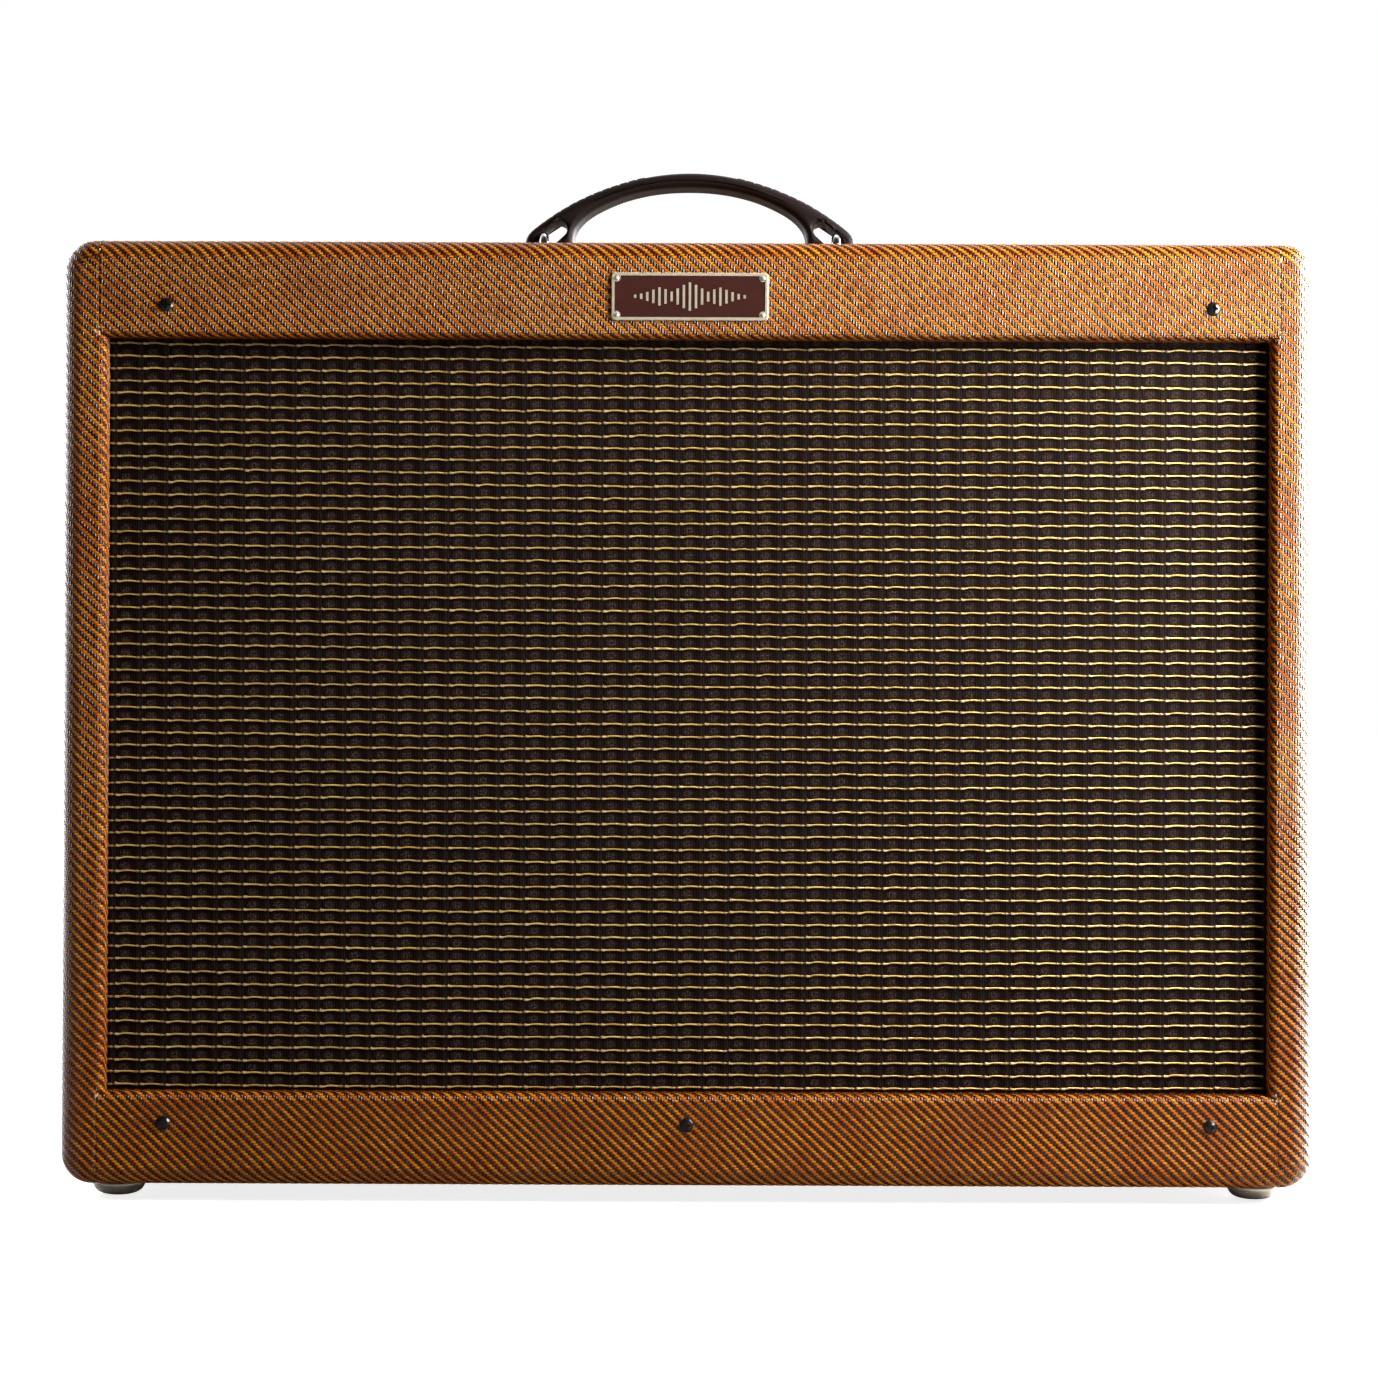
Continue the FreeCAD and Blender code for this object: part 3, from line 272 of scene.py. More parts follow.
def lathe(profile, centre, seg, axis="Z", name="part"):
    """profile: (radius, height) in millimetres, turned round an axis through centre (metres)."""
    bm = bmesh.new()
    rings = []
    for radius, height in profile:
        if radius < 1e-6:
            points = [(0.0, 0.0, height)]
        else:
            points = [(radius * math.cos(a), radius * math.sin(a), height) for a in around(seg)]
        ring = []
        for x, y, z in points:
            turned = (x, y, z) if axis == "Z" else (x, z, -y)
            ring.append(bm.verts.new(tuple(centre[i] + turned[i] * MM for i in range(3))))
        rings.append(ring)
    skin(bm, rings, turned=True)
    return to_mesh(bm, name, recalc=True)


def join(name, meshes, material, split=True):
    """One object from several meshes, which are used up."""
    bm = bmesh.new()
    for me in meshes:
        bm.from_mesh(me)
        bpy.data.meshes.remove(me)
    ob = place(name, to_mesh(bm, name), material)
    if split:
        split_edges(ob, 40)
    return ob


def capsules(name, items, material, end_rings):
    """items: (start, end, radius) in metres, each becoming a small rounded rod."""
    bm = bmesh.new()
    quarter = np.linspace(0, QUARTER, end_rings + 1)
    for start, end, r in items:
        start = Vector(start)
        along = Vector(end) - start
        length = along.length
        turn = along.to_track_quat("Z", "Y")
        profile = [(0.0, -r)] + [(r * math.sin(t), -r * math.cos(t)) for t in quarter[1:]]
        profile += [(r * math.cos(t), length + r * math.sin(t)) for t in quarter[:-1]]
        profile += [(0.0, length + r)]
        rings = []
        for radius, z in profile:
            angles = around(6) if radius else [0.0]
            rings.append([bm.verts.new(start + turn @ Vector(
                (radius * math.cos(t), radius * math.sin(t), z))) for t in angles])
        skin(bm, rings)
    return place(name, to_mesh(bm, name), material)


def catmull_rom(a, b, c, d, t):
    """Point between b and c."""
    return 0.5 * ((2 * b) + (c - a) * t + (2 * a - 5 * b + 4 * c - d) * t * t
                  + (3 * b - a - 3 * c + d) * t ** 3)


def stack(*parts):
    return np.stack(np.broadcast_arrays(*parts), -1)


class Sheet:
    """Collects grids of points into one smooth mesh with a 'weave' UV map and a relief."""

    def __init__(self):
        self.points, self.faces, self.uvs, self.reliefs = [], [], [], []
        self.count = 0

    def grid(self, points, uv, relief=None, flip=False, keep=None):
        points, uv = np.asarray(points, float), np.asarray(uv, float)
        rows, cols = points.shape[:2]
        index = np.arange(rows * cols).reshape(rows, cols) + self.count
        if relief is None:
            relief = np.zeros(rows * cols)
        self.points.append(points.reshape(-1, 3))
        self.reliefs.append(np.asarray(relief, float).reshape(-1))

        def corners(g, axis):
            return np.stack([g[:-1, :-1], g[:-1, 1:], g[1:, 1:], g[1:, :-1]], axis)

        quads, quad_uv = corners(index, -1), corners(uv, -2)
        if keep is not None:
            quads, quad_uv = quads[keep], quad_uv[keep]
        quads, quad_uv = quads.reshape(-1, 4), quad_uv.reshape(-1, 4, 2)
        if flip:
            quads, quad_uv = quads[:, ::-1], quad_uv[:, ::-1]
        self.faces.append(quads)
        self.uvs.append(quad_uv)
        self.count += rows * cols

    def build(self, name, material, relief_height=0.0):
        me = bpy.data.meshes.new(name)
        me.from_pydata(np.concatenate(self.points).tolist(), [],
                       np.concatenate(self.faces).tolist())
        uv = np.concatenate(self.uvs).reshape(-1).astype(np.float32)
        me.uv_layers.new(name="weave").data.foreach_set("uv", uv)
        relief = me.attributes.new("relief", "FLOAT", "POINT")
        relief.data.foreach_set("value", np.concatenate(self.reliefs).astype(np.float32))
        bm = bmesh.new()
        bm.from_mesh(me)
        bmesh.ops.remove_doubles(bm, verts=bm.verts, dist=2e-5)
        bmesh.ops.dissolve_degenerate(bm, dist=1e-7, edges=bm.edges)
        bm.normal_update()
        if relief_height:
            layer = bm.verts.layers.float.get("relief")
            moves = [(v, v.normal * (v[layer] * relief_height)) for v in bm.verts]
            for v, move in moves:
                v.co += move
        bm.to_mesh(me)
        bm.free()
        me.attributes.remove(me.attributes["relief"])
        return place(name, me, material)


# -------------------------------------------------- chains of lines and arcs
# A chain is a list of ("line", start, end) and ("arc", centre, radius, angle0, angle1).
def stations_of(chain, step):
    """Distances along a chain at half steps and at both ends, and where each part ends."""
    lengths = []
    for part in chain:
        if part[0] == "line":
            lengths.append(np.linalg.norm(np.array(part[2]) - np.array(part[1])))
        else:
            lengths.append(abs(part[4] - part[3]) * part[2])
    ends = np.cumsum([0] + lengths)
    total = ends[-1]
    s = np.arange(0.5 * step, total, step)
    s = np.concatenate([[0], s[(s > 0.2 * step) & (s < total - 0.2 * step)], [total]])
    return s, ends


def trace(chain, ends, stations):
    """Points and normals of a chain at the given distances along it."""
    points, normals = [], []
    for s in stations:
        i = min(int(np.searchsorted(ends, s + 1e-12, side="right")) - 1, len(chain) - 1)
        t = (s - ends[i]) / (ends[i + 1] - ends[i])
        part = chain[i]
        if part[0] == "line":
            a, b = np.array(part[1]), np.array(part[2])
            along = (b - a) / np.linalg.norm(b - a)
            points.append(a + (b - a) * t)
            normals.append([-along[1], along[0]])
        else:
            angle = part[3] + (part[4] - part[3]) * t
            out = np.array([math.cos(angle), math.sin(angle)])
            points.append(np.array(part[1]) + part[2] * out)
            normals.append(out)
    return np.array(points), np.array(normals)


# ------------------------------------------------------------------ covering
# Yarn coordinates on the front face: u = x / WARP, v = z / WEFT.
def yarn_uv(u, v):
    return stack(u, v) + UV_SHIFT


def twill(uv):
    """+1 on a weft float, -1 on a warp float."""
    phase = np.mod(np.floor(uv[..., 0] + 1e-6) + np.floor(uv[..., 1] + 1e-6), 4)
    return np.where(phase < 2, 1.0, -1.0)


def yarn_heights(z0, z1):
    """Middles of the weft yarns between two heights."""
    z = (np.arange(math.floor(z0 / WEFT), math.ceil(z1 / WEFT) + 1) + 0.5) * WEFT
    return z[(z > z0 + 0.2 * WEFT) & (z < z1 - 0.2 * WEFT)]


def tweed_material():
    """Gold weft floats over brown warp floats, under a film of lacquer."""
    sh = Shader("tweed_twill")
    uv = sh.uv()
    u, v, _ = sh.split(uv)
    # slow wander of the yarns, and a lean of the floats with the twill line
    drift_u = sh.noise(sh.stretch(uv, 0.05), scale=1.0)
    drift_v = sh.noise(sh.shift(sh.stretch(uv, 0.045), (31.0, 7.0, 0.0)), scale=1.0)
    jitter = sh.noise(sh.stretch(uv, 0.55), scale=1.0, detail=1.0)
    u = u + (drift_u - 0.5) * 0.9 + (jitter - 0.5) * 0.16
    v = v + (drift_v - 0.5) * 0.9
    v = v + ((u + v - 1.5) * (PI / 2)).sin() * 0.14
    iu, iv, fu, fv = u.floor(), v.floor(), u.fract(), v.fract()
    phase = (iu + iv) % 4.0
    warp_up = phase > 1.5
    # position along each float, 0 to 1, and across each yarn, -1 to 1
    on_weft = (phase + fu) * 0.5
    on_warp = (phase - 2.0 + fv) * 0.5
    across_weft, across_warp = (fv - 0.5) * 2.0, (fu - 0.5) * 2.0
    # round yarns that rise in the middle of a float; the warp lies lower
    weft_h = (1.0 - across_weft * across_weft * 0.94).max(0.0).sqrt() * (
        0.30 + 0.70 * (on_weft * PI).sin().max(0.0) ** 0.6)
    warp_h = (1.0 - across_warp * across_warp * 0.98).max(0.0).sqrt() * (
        0.10 + 0.66 * (on_warp * PI).sin().max(0.0) ** 0.7)
    height = sh.select(warp_up, weft_h, warp_h)
    # fibres: fine slanted lines in each yarn
    ply = sh.select(warp_up, u * 5.0 + v * 9.0, v * 6.0 - u * 7.0)
    fibre = (ply * PI).sin() * 0.5 + 0.5
    # random shades of each weft float, warp float, weft yarn and warp yarn
    weft_float = sh.chance(iu - phase, iv, 3.0)
    warp_float = sh.chance(iu, iv - phase, 9.0)
    weft_yarn = sh.chance(iv, 11.0, 5.0)
    warp_yarn = sh.chance(iu, 17.0, 5.0)
    patches = sh.noise(sh.obj(), scale=7.0, detail=3.0)
    blots = sh.noise(sh.obj(), scale=36.0, detail=3.0)
    # weft: light to deep gold, redder in blots; darker and redder where a float begins, painted
    # shade of the float's end turned from the light; darker between yarns and towards the dipping
    # ends of each float, painted shade
    gold = sh.mix(weft_float, (0.80, 0.190, 0.0070), (1.0, 0.400, 0.016))
    gold = sh.mix(sh.ramp(blots, span=(0.44, 0.68)) * 0.7, gold, (0.66, 0.135, 0.006))
    # painted shade: each float starts darker and redder
    gold = sh.mix(sh.ramp(on_weft, span=(0.0, 0.55), to=(0.60, 0.0)), gold,
                  (0.56, 0.095, 0.005))
    # painted shade: the weft darkens with its height, between yarns and towards the ends of each
    # float
    gold = sh.scale(gold, (0.14 + 0.86 * weft_h ** 1.3) * (0.86 + 0.20 * weft_yarn)
                    * (0.86 + 0.22 * fibre))
    # warp: brown on the float, darkened with its height as painted shade between yarns and at the
    # float's ends; where it tucks under, dull gold as painted shade
    # painted shade: dull, dark gold where the weft tucks under the warp
    shaded_tuck = sh.scale(sh.mix(weft_float, (0.34, 0.070, 0.0060), (0.50, 0.130, 0.010)),
                    0.40 + 0.4 * fibre)
    brown = sh.mix(warp_yarn, (0.034, 0.0072, 0.0022), (0.080, 0.0190, 0.0048))
    # painted shade: the warp darkens to near black between yarns and where each float dips
    brown = sh.scale(brown, (0.02 + 0.98 * warp_h ** 1.6) * (0.7 + 0.5 * fibre))
    shown = sh.ramp((on_warp - 0.5).abs(), span=(0.35, 0.43), to=(1.0, 0.0))
    brown = sh.mix(shown, shaded_tuck, brown)
    colour = sh.scale(sh.mix(warp_up, gold, brown), 0.76 + 0.46 * patches)
    # the lacquer lies smoother than the yarns, and thickest on the upright corners
    gloss = (0.25 + 0.55 * warp_float) * shown
    build = sh.ramp(sh.split(sh.obj())[0].abs(), span=(0.2865, 0.2940))
    film = sh.select(warp_up, weft_h * 0.5, (1.0 - across_warp * across_warp)
                     * (0.25 + 0.75 * (on_warp * PI).sin().max(0.0) ** 0.5))
    return sh.set(color=colour, rough=0.55, spec=0.02,
                  normal=sh.bump(height + fibre * 0.07, depth=0.00040, strength=0.9),
                  coat=(sh.select(warp_up, 0.22, gloss) + build * 0.8).min(1.0),
                  coat_rough=0.19, coat_normal=sh.bump(film, depth=0.00036))


TWEED = tweed_material()


def add_cutout(sheet, columns, rows_y, v_at):
    """Rolled edge and walls of the control panel's opening. v_at gives v for a y on top."""
    x1, y0, y1 = PANEL_X + R_PANEL, PANEL_Y0 - R_PANEL, PANEL_Y1 + R_PANEL
    profile = [(R_PANEL * math.sin(t), R_PANEL * (1 - math.cos(t)))
               for t in np.linspace(0, QUARTER, 5)]
    profile += [(R_PANEL, d) for d in np.linspace(R_PANEL, TOP_Z - INNER_Z1, 5)[1:]]
    run = np.cumsum([0] + [math.dist(a, b) for a, b in zip(profile[:-1], profile[1:])])[:, None]
    inward, depth = (column[:, None] for column in np.array(profile).T)
    # the ends draw in with the roll, to meet in mitres
    xs = columns[(columns >= -x1 - 1e-9) & (columns <= x1 + 1e-9)]
    for y, way in ((y0, 1), (y1, -1)):
        x = np.clip(xs[None, :], -(x1 - inward), x1 - inward)
        sheet.grid(stack(x, y + way * inward, TOP_Z - depth),
                   yarn_uv(x / WARP, v_at(y) + way * run / WEFT), flip=(way > 0))
    ys = rows_y[(rows_y >= y0 - 1e-9) & (rows_y <= y1 + 1e-9)]
    for x, way in ((-x1, 1), (x1, -1)):
        y = np.clip(ys[None, :], y0 + inward, y1 - inward)
        sheet.grid(stack(x + way * inward, y, TOP_Z - depth),
                   yarn_uv(x / WARP + way * run / WARP, v_at(y)), flip=(way < 0))


def rail_sheet(top):
    """Covering of the top or bottom board and its front rail, from the opening to the back."""
    up = 1 if top else -1
    heights = (OPEN_Z1, TOP_Z, INNER_Z1) if top else (OPEN_Z0, BASE_Z, INNER_Z0)
    edge, outer, inner = (z * up for z in heights)
    # the chain's plane is (y, z * up)
    chain = [("line", (RAIL_BACK, edge), (-HALF_Y + R_OPEN, edge)),
             ("arc", (-HALF_Y + R_OPEN, edge + R_OPEN), R_OPEN, -QUARTER, -2 * QUARTER),
             ("line", (-HALF_Y, edge + R_OPEN), (-HALF_Y, outer - R_FRONT)),
             ("arc", (-HALF_Y + R_FRONT, outer - R_FRONT), R_FRONT, 2 * QUARTER, QUARTER),
             ("line", (-HALF_Y + R_FRONT, outer), (HALF_Y - R_BACK, outer)),
             ("arc", (HALF_Y - R_BACK, outer - R_BACK), R_BACK, QUARTER, 0),
             ("line", (HALF_Y, outer - R_BACK), (HALF_Y, inner))]
    s, ends = stations_of(chain, WEFT)
    points, _ = trace(chain, ends, s)
    s_front = ends[2] - (edge + R_OPEN)      # s = z * up + s_front on the front face
    # every yarn near the front, every fourth behind, and all of the back rounding
    fine_end = ends[4] + FADE
    coarse = s > fine_end
    keep = ~coarse
    keep[np.where(coarse)[0][::4]] = True
    for end in ends[5:8]:
        keep[np.argmin(np.abs(s - end))] = True
    keep[-1] = True
    keep |= (s > ends[5] - 0.1 * MM) & (s < ends[6] + 0.1 * MM)
    s, points = s[keep], points[keep]
    us = (np.arange(math.ceil(-SEAM_X / WARP), math.floor(SEAM_X / WARP)) + 0.5) * WARP
    us = np.concatenate([[-SEAM_X], us, [SEAM_X]])
    hole_x = PANEL_X + R_PANEL
    hole_y = (PANEL_Y0 - R_PANEL, PANEL_Y1 + R_PANEL)
    if top:
        # rows and columns nearest the panel's opening move onto its edge
        flat = (s > ends[4]) & (s < ends[5])
        ys = points[:, 0].copy()
        for y in hole_y:
            i = np.where(flat)[0][np.argmin(np.abs(ys[flat] - y))]
            points[i, 0] = y
            s[i] = ends[4] + (y - (-HALF_Y + R_FRONT))
        for x in (-hole_x, hole_x):
            us[np.argmin(np.abs(us - x))] = x
    uv = yarn_uv(us[None, :] / WARP, ((s - s_front) / WEFT * up)[:, None])
    fade = np.clip((fine_end - s) / FADE, 0, 1)[:, None]
    side = np.clip((SEAM_X - np.abs(us)) / (0.9 * WARP), 0, 1)[None, :]
    relief = twill(uv) * fade * side + SEAM_SINK * (1 - side)
    keep_faces = None
    if top:
        mid_x = (us[1:] + us[:-1]) / 2
        mid_y, mid_z = ((points[1:] + points[:-1]) / 2).T
        in_rows = ((mid_y > hole_y[0] + 1e-5) & (mid_y < hole_y[1] - 1e-5)
                   & (np.abs(mid_z - outer) < 0.5 * MM))
        keep_faces = ~((np.abs(mid_x) < hole_x - 1e-5)[None, :] & in_rows[:, None])
    sheet = Sheet()
    sheet.grid(stack(us[None, :], points[:, :1], points[:, 1:] * up), uv, relief,
               flip=top, keep=keep_faces)
    if top:
        add_cutout(sheet, us, points[np.abs(points[:, 1] - outer) < 1e-6, 0],
                   lambda y: (ends[4] + (y + HALF_Y - R_FRONT) - s_front) / WEFT)
    return sheet


def add_stile(sheet, side):
    """Front stile, from the seam line round the opening's edge to the rail's back."""
    chain = [("line", (SEAM_X, -HALF_Y), (OPEN_X + R_OPEN, -HALF_Y)),
             ("arc", (OPEN_X + R_OPEN, -HALF_Y + R_OPEN), R_OPEN, -QUARTER, -2 * QUARTER),
             ("line", (OPEN_X, -HALF_Y + R_OPEN), (OPEN_X, RAIL_BACK))]
    s, ends = stations_of(chain, WARP)
    points, _ = trace(chain, ends, s)
    z = np.concatenate([[OPEN_Z0], yarn_heights(OPEN_Z0, OPEN_Z1), [OPEN_Z1]])[None, :]
    uv = yarn_uv((side * (SEAM_X - s) / WARP)[:, None], z / WEFT)
    sheet.grid(stack(side * points[:, :1], points[:, 1:], z), uv, twill(uv), flip=(side > 0))


def side_sheet(side):
    """Covering of a side board and its edges, up to the seams. side is -1 left, +1 right."""
    # outline in (x * side, z), from the top seam down to the bottom seam
    corner_x = HALF_X - R_CORNER
    z_high, z_low = TOP_Z - R_CORNER, BASE_Z + R_CORNER
    chain = [("line", (SEAM_X, TOP_Z), (corner_x, TOP_Z)),
             ("arc", (corner_x, z_high), R_CORNER, QUARTER, 0),
             ("line", (HALF_X, z_high), (HALF_X, z_low)),
             ("arc", (corner_x, z_low), R_CORNER, 0, -QUARTER),
             ("line", (corner_x, BASE_Z), (SEAM_X, BASE_Z))]
    s, e = stations_of(chain, WEFT)
    # samples of the upright run sit on the yarns
    upright = e[2] + z_high - yarn_heights(z_low, z_high)[::-1]
    s = np.concatenate([s[s <= e[2] + 1e-9], [e[2]], upright, [e[3]], s[s >= e[3] - 1e-9]])
    s = np.unique(np.round(s, 9))
    outline, normals = trace(chain, e, s)
    middle = np.array([0.0, (BASE_Z + TOP_Z) / 2])
    inward = np.einsum("ij,ij->i", normals, outline - middle) < 0
    normals[inward] *= -1

    def ring(inset, y):
        return stack((outline[:, 0] - normals[:, 0] * inset) * side, y,
                     outline[:, 1] - normals[:, 1] * inset)

    sheet = Sheet()
    # front rounding, cloth coordinates spread radially from the front plane
    rows, uvs = [], []
    for t in np.linspace(0, QUARTER, 12):
        row = ring(R_FRONT * (1 - math.sin(t)), -HALF_Y + R_FRONT * (1 - math.cos(t)))
        spread = R_FRONT * t - R_FRONT * math.sin(t)
        rows.append(row)
        uvs.append(yarn_uv((row[:, 0] + normals[:, 0] * side * spread) / WARP,
                           (row[:, 2] + normals[:, 1] * spread) / WEFT))
    sheet.grid(rows, uvs, [twill(uv) for uv in uvs], flip=(side > 0))

    # the side itself and the back rounding, cloth coordinates along y
    u_start = (HALF_X + R_FRONT * (QUARTER - 1)) / WARP
    front_y, back_y = -HALF_Y + R_FRONT, HALF_Y - R_BACK

    def side_uv(length):
        return yarn_uv(side * (u_start + length / WARP), (z_high - (s - e[2])) / WEFT)

    ys = list(np.arange(front_y, front_y + FADE, WARP))
    ys += list(np.arange(ys[-1] + 4 * WARP, back_y - 2 * WARP, 4 * WARP)) + [back_y]
    rows, uvs, reliefs = [], [], []
    for y in ys:
        length = y + HALF_Y - R_FRONT
        rows.append(ring(0.0, y))
        uvs.append(side_uv(length))
        reliefs.append(twill(uvs[-1]) * max(0, 1 - length / FADE))
    side_length = HALF_Y - R_BACK + HALF_Y - R_FRONT
    for i, t in enumerate(np.linspace(0, QUARTER, 6)[1:]):
        rows.append(ring(R_BACK * (1 - math.cos(t)), back_y + R_BACK * math.sin(t)))
        uvs.append(side_uv(side_length + R_BACK * QUARTER * (i + 1) / 5))
        reliefs.append(np.zeros(len(s)))
    sheet.grid(rows, uvs, reliefs, flip=(side > 0))

    def back_uv(points):
        reach = HALF_X - R_BACK - np.abs(points[..., 0])
        return yarn_uv(side * (u_start + (side_length + R_BACK * QUARTER + reach) / WARP),
                       points[..., 2] / WEFT)

    # flat patches at the front and back, from the rounding's end to the seam
    chosen = (s >= e[1] - 1e-9) & (s <= e[4] + 1e-9)
    for inset, y, columns in ((R_FRONT, -HALF_Y, 7), (R_BACK, HALF_Y, 5)):
        edge = ring(inset, y)[chosen]
        t = np.arange(columns)[:, None] / (columns - 1)
        points = np.repeat(edge[None], columns, 0)
        points[..., 0] = edge[:, 0] * (1 - t) + side * SEAM_X * t
        if y < 0:
            uv = yarn_uv(points[..., 0] / WARP, points[..., 2] / WEFT)
            relief = twill(uv)
            relief[-1] = SEAM_SINK
            sheet.grid(points, uv, relief, flip=(side < 0))
        else:
            sheet.grid(points, back_uv(points), flip=(side > 0))
    # back rim strip inside the seam line
    points = stack(np.array([[side * SEAM_X], [side * INNER_X]]), HALF_Y,
                   np.linspace(INNER_Z0, INNER_Z1, 60)[None, :])
    sheet.grid(points, back_uv(points), flip=(side < 0))
    add_stile(sheet, side)
    return sheet


def back_sheet():
    """Covering of the two back panels, each folded round its panel's free edge."""
    lo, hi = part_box("tweed_back")
    upper_lo, upper_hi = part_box("upper_back_panel")
    lower_lo, lower_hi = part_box("lower_back_panel")
    fold_y, r = upper_lo.y, 1.2 * MM
    y_c = HALF_Y - r
    z0, z1 = upper_lo.z - COVER, upper_hi.z
    upper = [(fold_y, z0)]
    upper += [(y_c + r * math.cos(t), z0 + r + r * math.sin(t))
              for t in np.linspace(-QUARTER, 0, 5)]
    upper += [(HALF_Y, z) for z in np.linspace(z0 + r, z1, 18)[1:]]
    z2, z3 = lower_lo.z, lower_hi.z + COVER
    lower = [(HALF_Y, z) for z in np.linspace(z2, z3 - r, 26)]
    lower += [(y_c + r * math.cos(t), z3 - r + r * math.sin(t))
              for t in np.linspace(0, QUARTER, 5)[1:]]
    lower += [(fold_y, z3)]
    x = np.linspace(lo.x, hi.x, 180)[None, :]
    sheet = Sheet()
    for profile, start in ((upper, z0), (lower, z2)):
        run = np.cumsum([0] + [math.dist(a, b) for a, b in zip(profile[:-1], profile[1:])])
        yz = np.array(profile)
        sheet.grid(stack(x, yz[:, :1], yz[:, 1:]),
                   yarn_uv(-x / WARP, (run / WEFT + start / WEFT)[:, None]))
    return sheet


for part, sheet in (("top", rail_sheet(True)), ("bottom", rail_sheet(False)),
                    ("left", side_sheet(-1)), ("right", side_sheet(1)), ("back", back_sheet())):
    covering = sheet.build("covering_" + part, TWEED, relief_height=RELIEF)
    thicken(covering, 0.0006)
    tell(covering, "tweed_" + part, "tweed")


# ---------------------------------------------------------------- materials
def tinted_metal(name, colour, rough=0.18, scratch=0.10, scale=60.0, dirt=0.0):
    """Plated metal with upright scratches. scratch varies the roughness."""
    sh = Shader(name)
    o = sh.obj()
    cloud = sh.noise(o, scale=scale, detail=4.0)
    scratches = sh.noise(sh.stretch(o, (1.0, 1.0, 0.08)), scale=scale * 14)
    colour = sh.mix(sh.ramp(cloud, span=(0.35, 0.75)) * 0.6 + dirt, colour, darker(colour, 0.62))
    return sh.set(color=colour, metal=1.0, normal=sh.bump(scratches, depth=0.00002, strength=0.5),
                  rough=rough + (cloud - 0.5) * scratch + (scratches - 0.5) * scratch * 0.6)


def paint(name, colour, rough, scale, var, bump, metal=0.0, coat=0.0):
    """Plain finish. var is how far it clouds darker, bump the depth of its grain."""
    sh = Shader(name)
    o = sh.obj()
    cloud = sh.noise(o, scale=scale, detail=4.0)
    grain = sh.noise(o, scale=scale * 8, detail=3.0)
    return sh.set(color=sh.mix(cloud * var * 2, colour, darker(colour, 0.55)), metal=metal,
                  rough=rough + (cloud - 0.5) * 0.18, coat=coat,
                  normal=sh.bump(grain, depth=bump, strength=0.8))


def wood(name, light, dark, axis, ring=9.0, rough=0.55):
    """Board with grain along axis: 0 along x, 1 along y, 2 along z. ring is the band count."""
    sh = Shader(name)
    o = sh.obj()

    def stretched(across, along, by=1.0):
        return sh.stretch(o, tuple((along if i == axis else across) * by for i in range(3)))

    base = sh.noise(stretched(5.0, 0.5), scale=1.6, detail=3.0, distort=0.4)
    bands = ((base * ring * 9.0).sin() * 0.5 + 0.5) ** 1.6
    fine = sh.noise(stretched(16.0, 1.1, by=7), scale=4.0, detail=3.0)
    pores = sh.ramp(sh.noise(stretched(16.0, 1.1, by=10), scale=5.0), span=(0.58, 0.72))
    knots = sh.ramp(sh.voronoi(stretched(16.0, 1.1, by=0.25), scale=1.15),
                    span=(0.0, 0.10), to=(1.0, 0.0))
    colour = sh.mix(bands * 0.75, light, dark)
    colour = sh.mix(fine * 0.35, colour, darker(dark, 0.6))
    colour = sh.mix(pores * 0.35 + knots * 0.6, colour, darker(dark, 0.35))
    return sh.set(color=colour, rough=rough + (fine - 0.5) * 0.2,
                  normal=sh.bump(fine * 0.6 - pores * 0.6 + bands * 0.2,
                                 depth=0.00018, strength=0.7))


def satin_metal(name, light, dark, rough, metal):
    """Bright rolled metal, finely scratched."""
    sh = Shader(name)
    o = sh.obj()
    lines = sh.noise(sh.stretch(o, (0.05, 1.0, 1.0)), scale=2600.0)
    spots = sh.noise(o, scale=260.0, detail=3.0)
    return sh.set(color=sh.scale(sh.mix(spots, light, dark), 0.85 + 0.25 * lines),
                  rough=rough + 0.18 * (spots - 0.5), metal=metal,
                  normal=sh.bump(lines, depth=0.00003, strength=0.4), spec=0.5)


def enamel_material():
    sh = Shader("maroon_enamel")
    o = sh.obj()
    cloud = sh.noise(o, scale=90.0, detail=4.0)
    speck = sh.ramp(sh.noise(o, scale=2600.0), span=(0.62, 0.72))
    colour = sh.mix(cloud, (0.062, 0.0180, 0.0145), (0.038, 0.0120, 0.0105))
    colour = sh.mix(speck * 0.12, colour, (0.18, 0.09, 0.07))
    return sh.set(color=colour, rough=0.24 + (cloud - 0.5) * 0.1, coat=0.6, coat_rough=0.12,
                  normal=sh.bump(sh.noise(o, scale=700.0), depth=0.00003, strength=0.5))


def cream_material():
    sh = Shader("cream_knob")
    o = sh.obj()
    cloud = sh.noise(o, scale=60.0, detail=4.0)
    swirl = sh.noise(sh.shift(o, (3.0, 1.0, 2.0)), scale=220.0, detail=3.0, distort=1.2)
    colour = sh.mix(cloud, (0.80, 0.70, 0.48), (0.66, 0.54, 0.33))
    colour = sh.mix(sh.ramp(swirl, span=(0.55, 0.8)) * 0.25, colour, (0.50, 0.37, 0.20))
    return sh.set(color=colour, rough=0.28 + (cloud - 0.5) * 0.1, sss=0.06, coat=0.3,
                  normal=sh.bump(swirl, depth=0.00003, strength=0.4))


def leather_material():
    sh = Shader("handle_leather")
    o = sh.obj()
    grain = sh.voronoi(o, scale=900.0)
    fine = sh.noise(o, scale=2600.0, detail=3.0)
    soft = sh.noise(o, scale=45.0, detail=4.0)
    colour = sh.mix(soft, (0.011, 0.0065, 0.0070), (0.006, 0.0042, 0.0046))
    colour = sh.mix(sh.ramp(grain, span=(0.0, 0.55)) * 0.30, colour, (0.018, 0.011, 0.011))
    return sh.set(color=colour, rough=0.52 + (soft - 0.5) * 0.2, spec=0.10,
                  normal=sh.bump(grain * 0.6 + fine * 0.35, depth=0.00006, strength=0.55))


# the grille cloth, in millimetres
CELL, ROW = 12.27, 6.01                  # spacing of the knots and of the gold rows
RIB, PICK = 0.78, 0.62                   # spacing of the upright ribs and of the picks


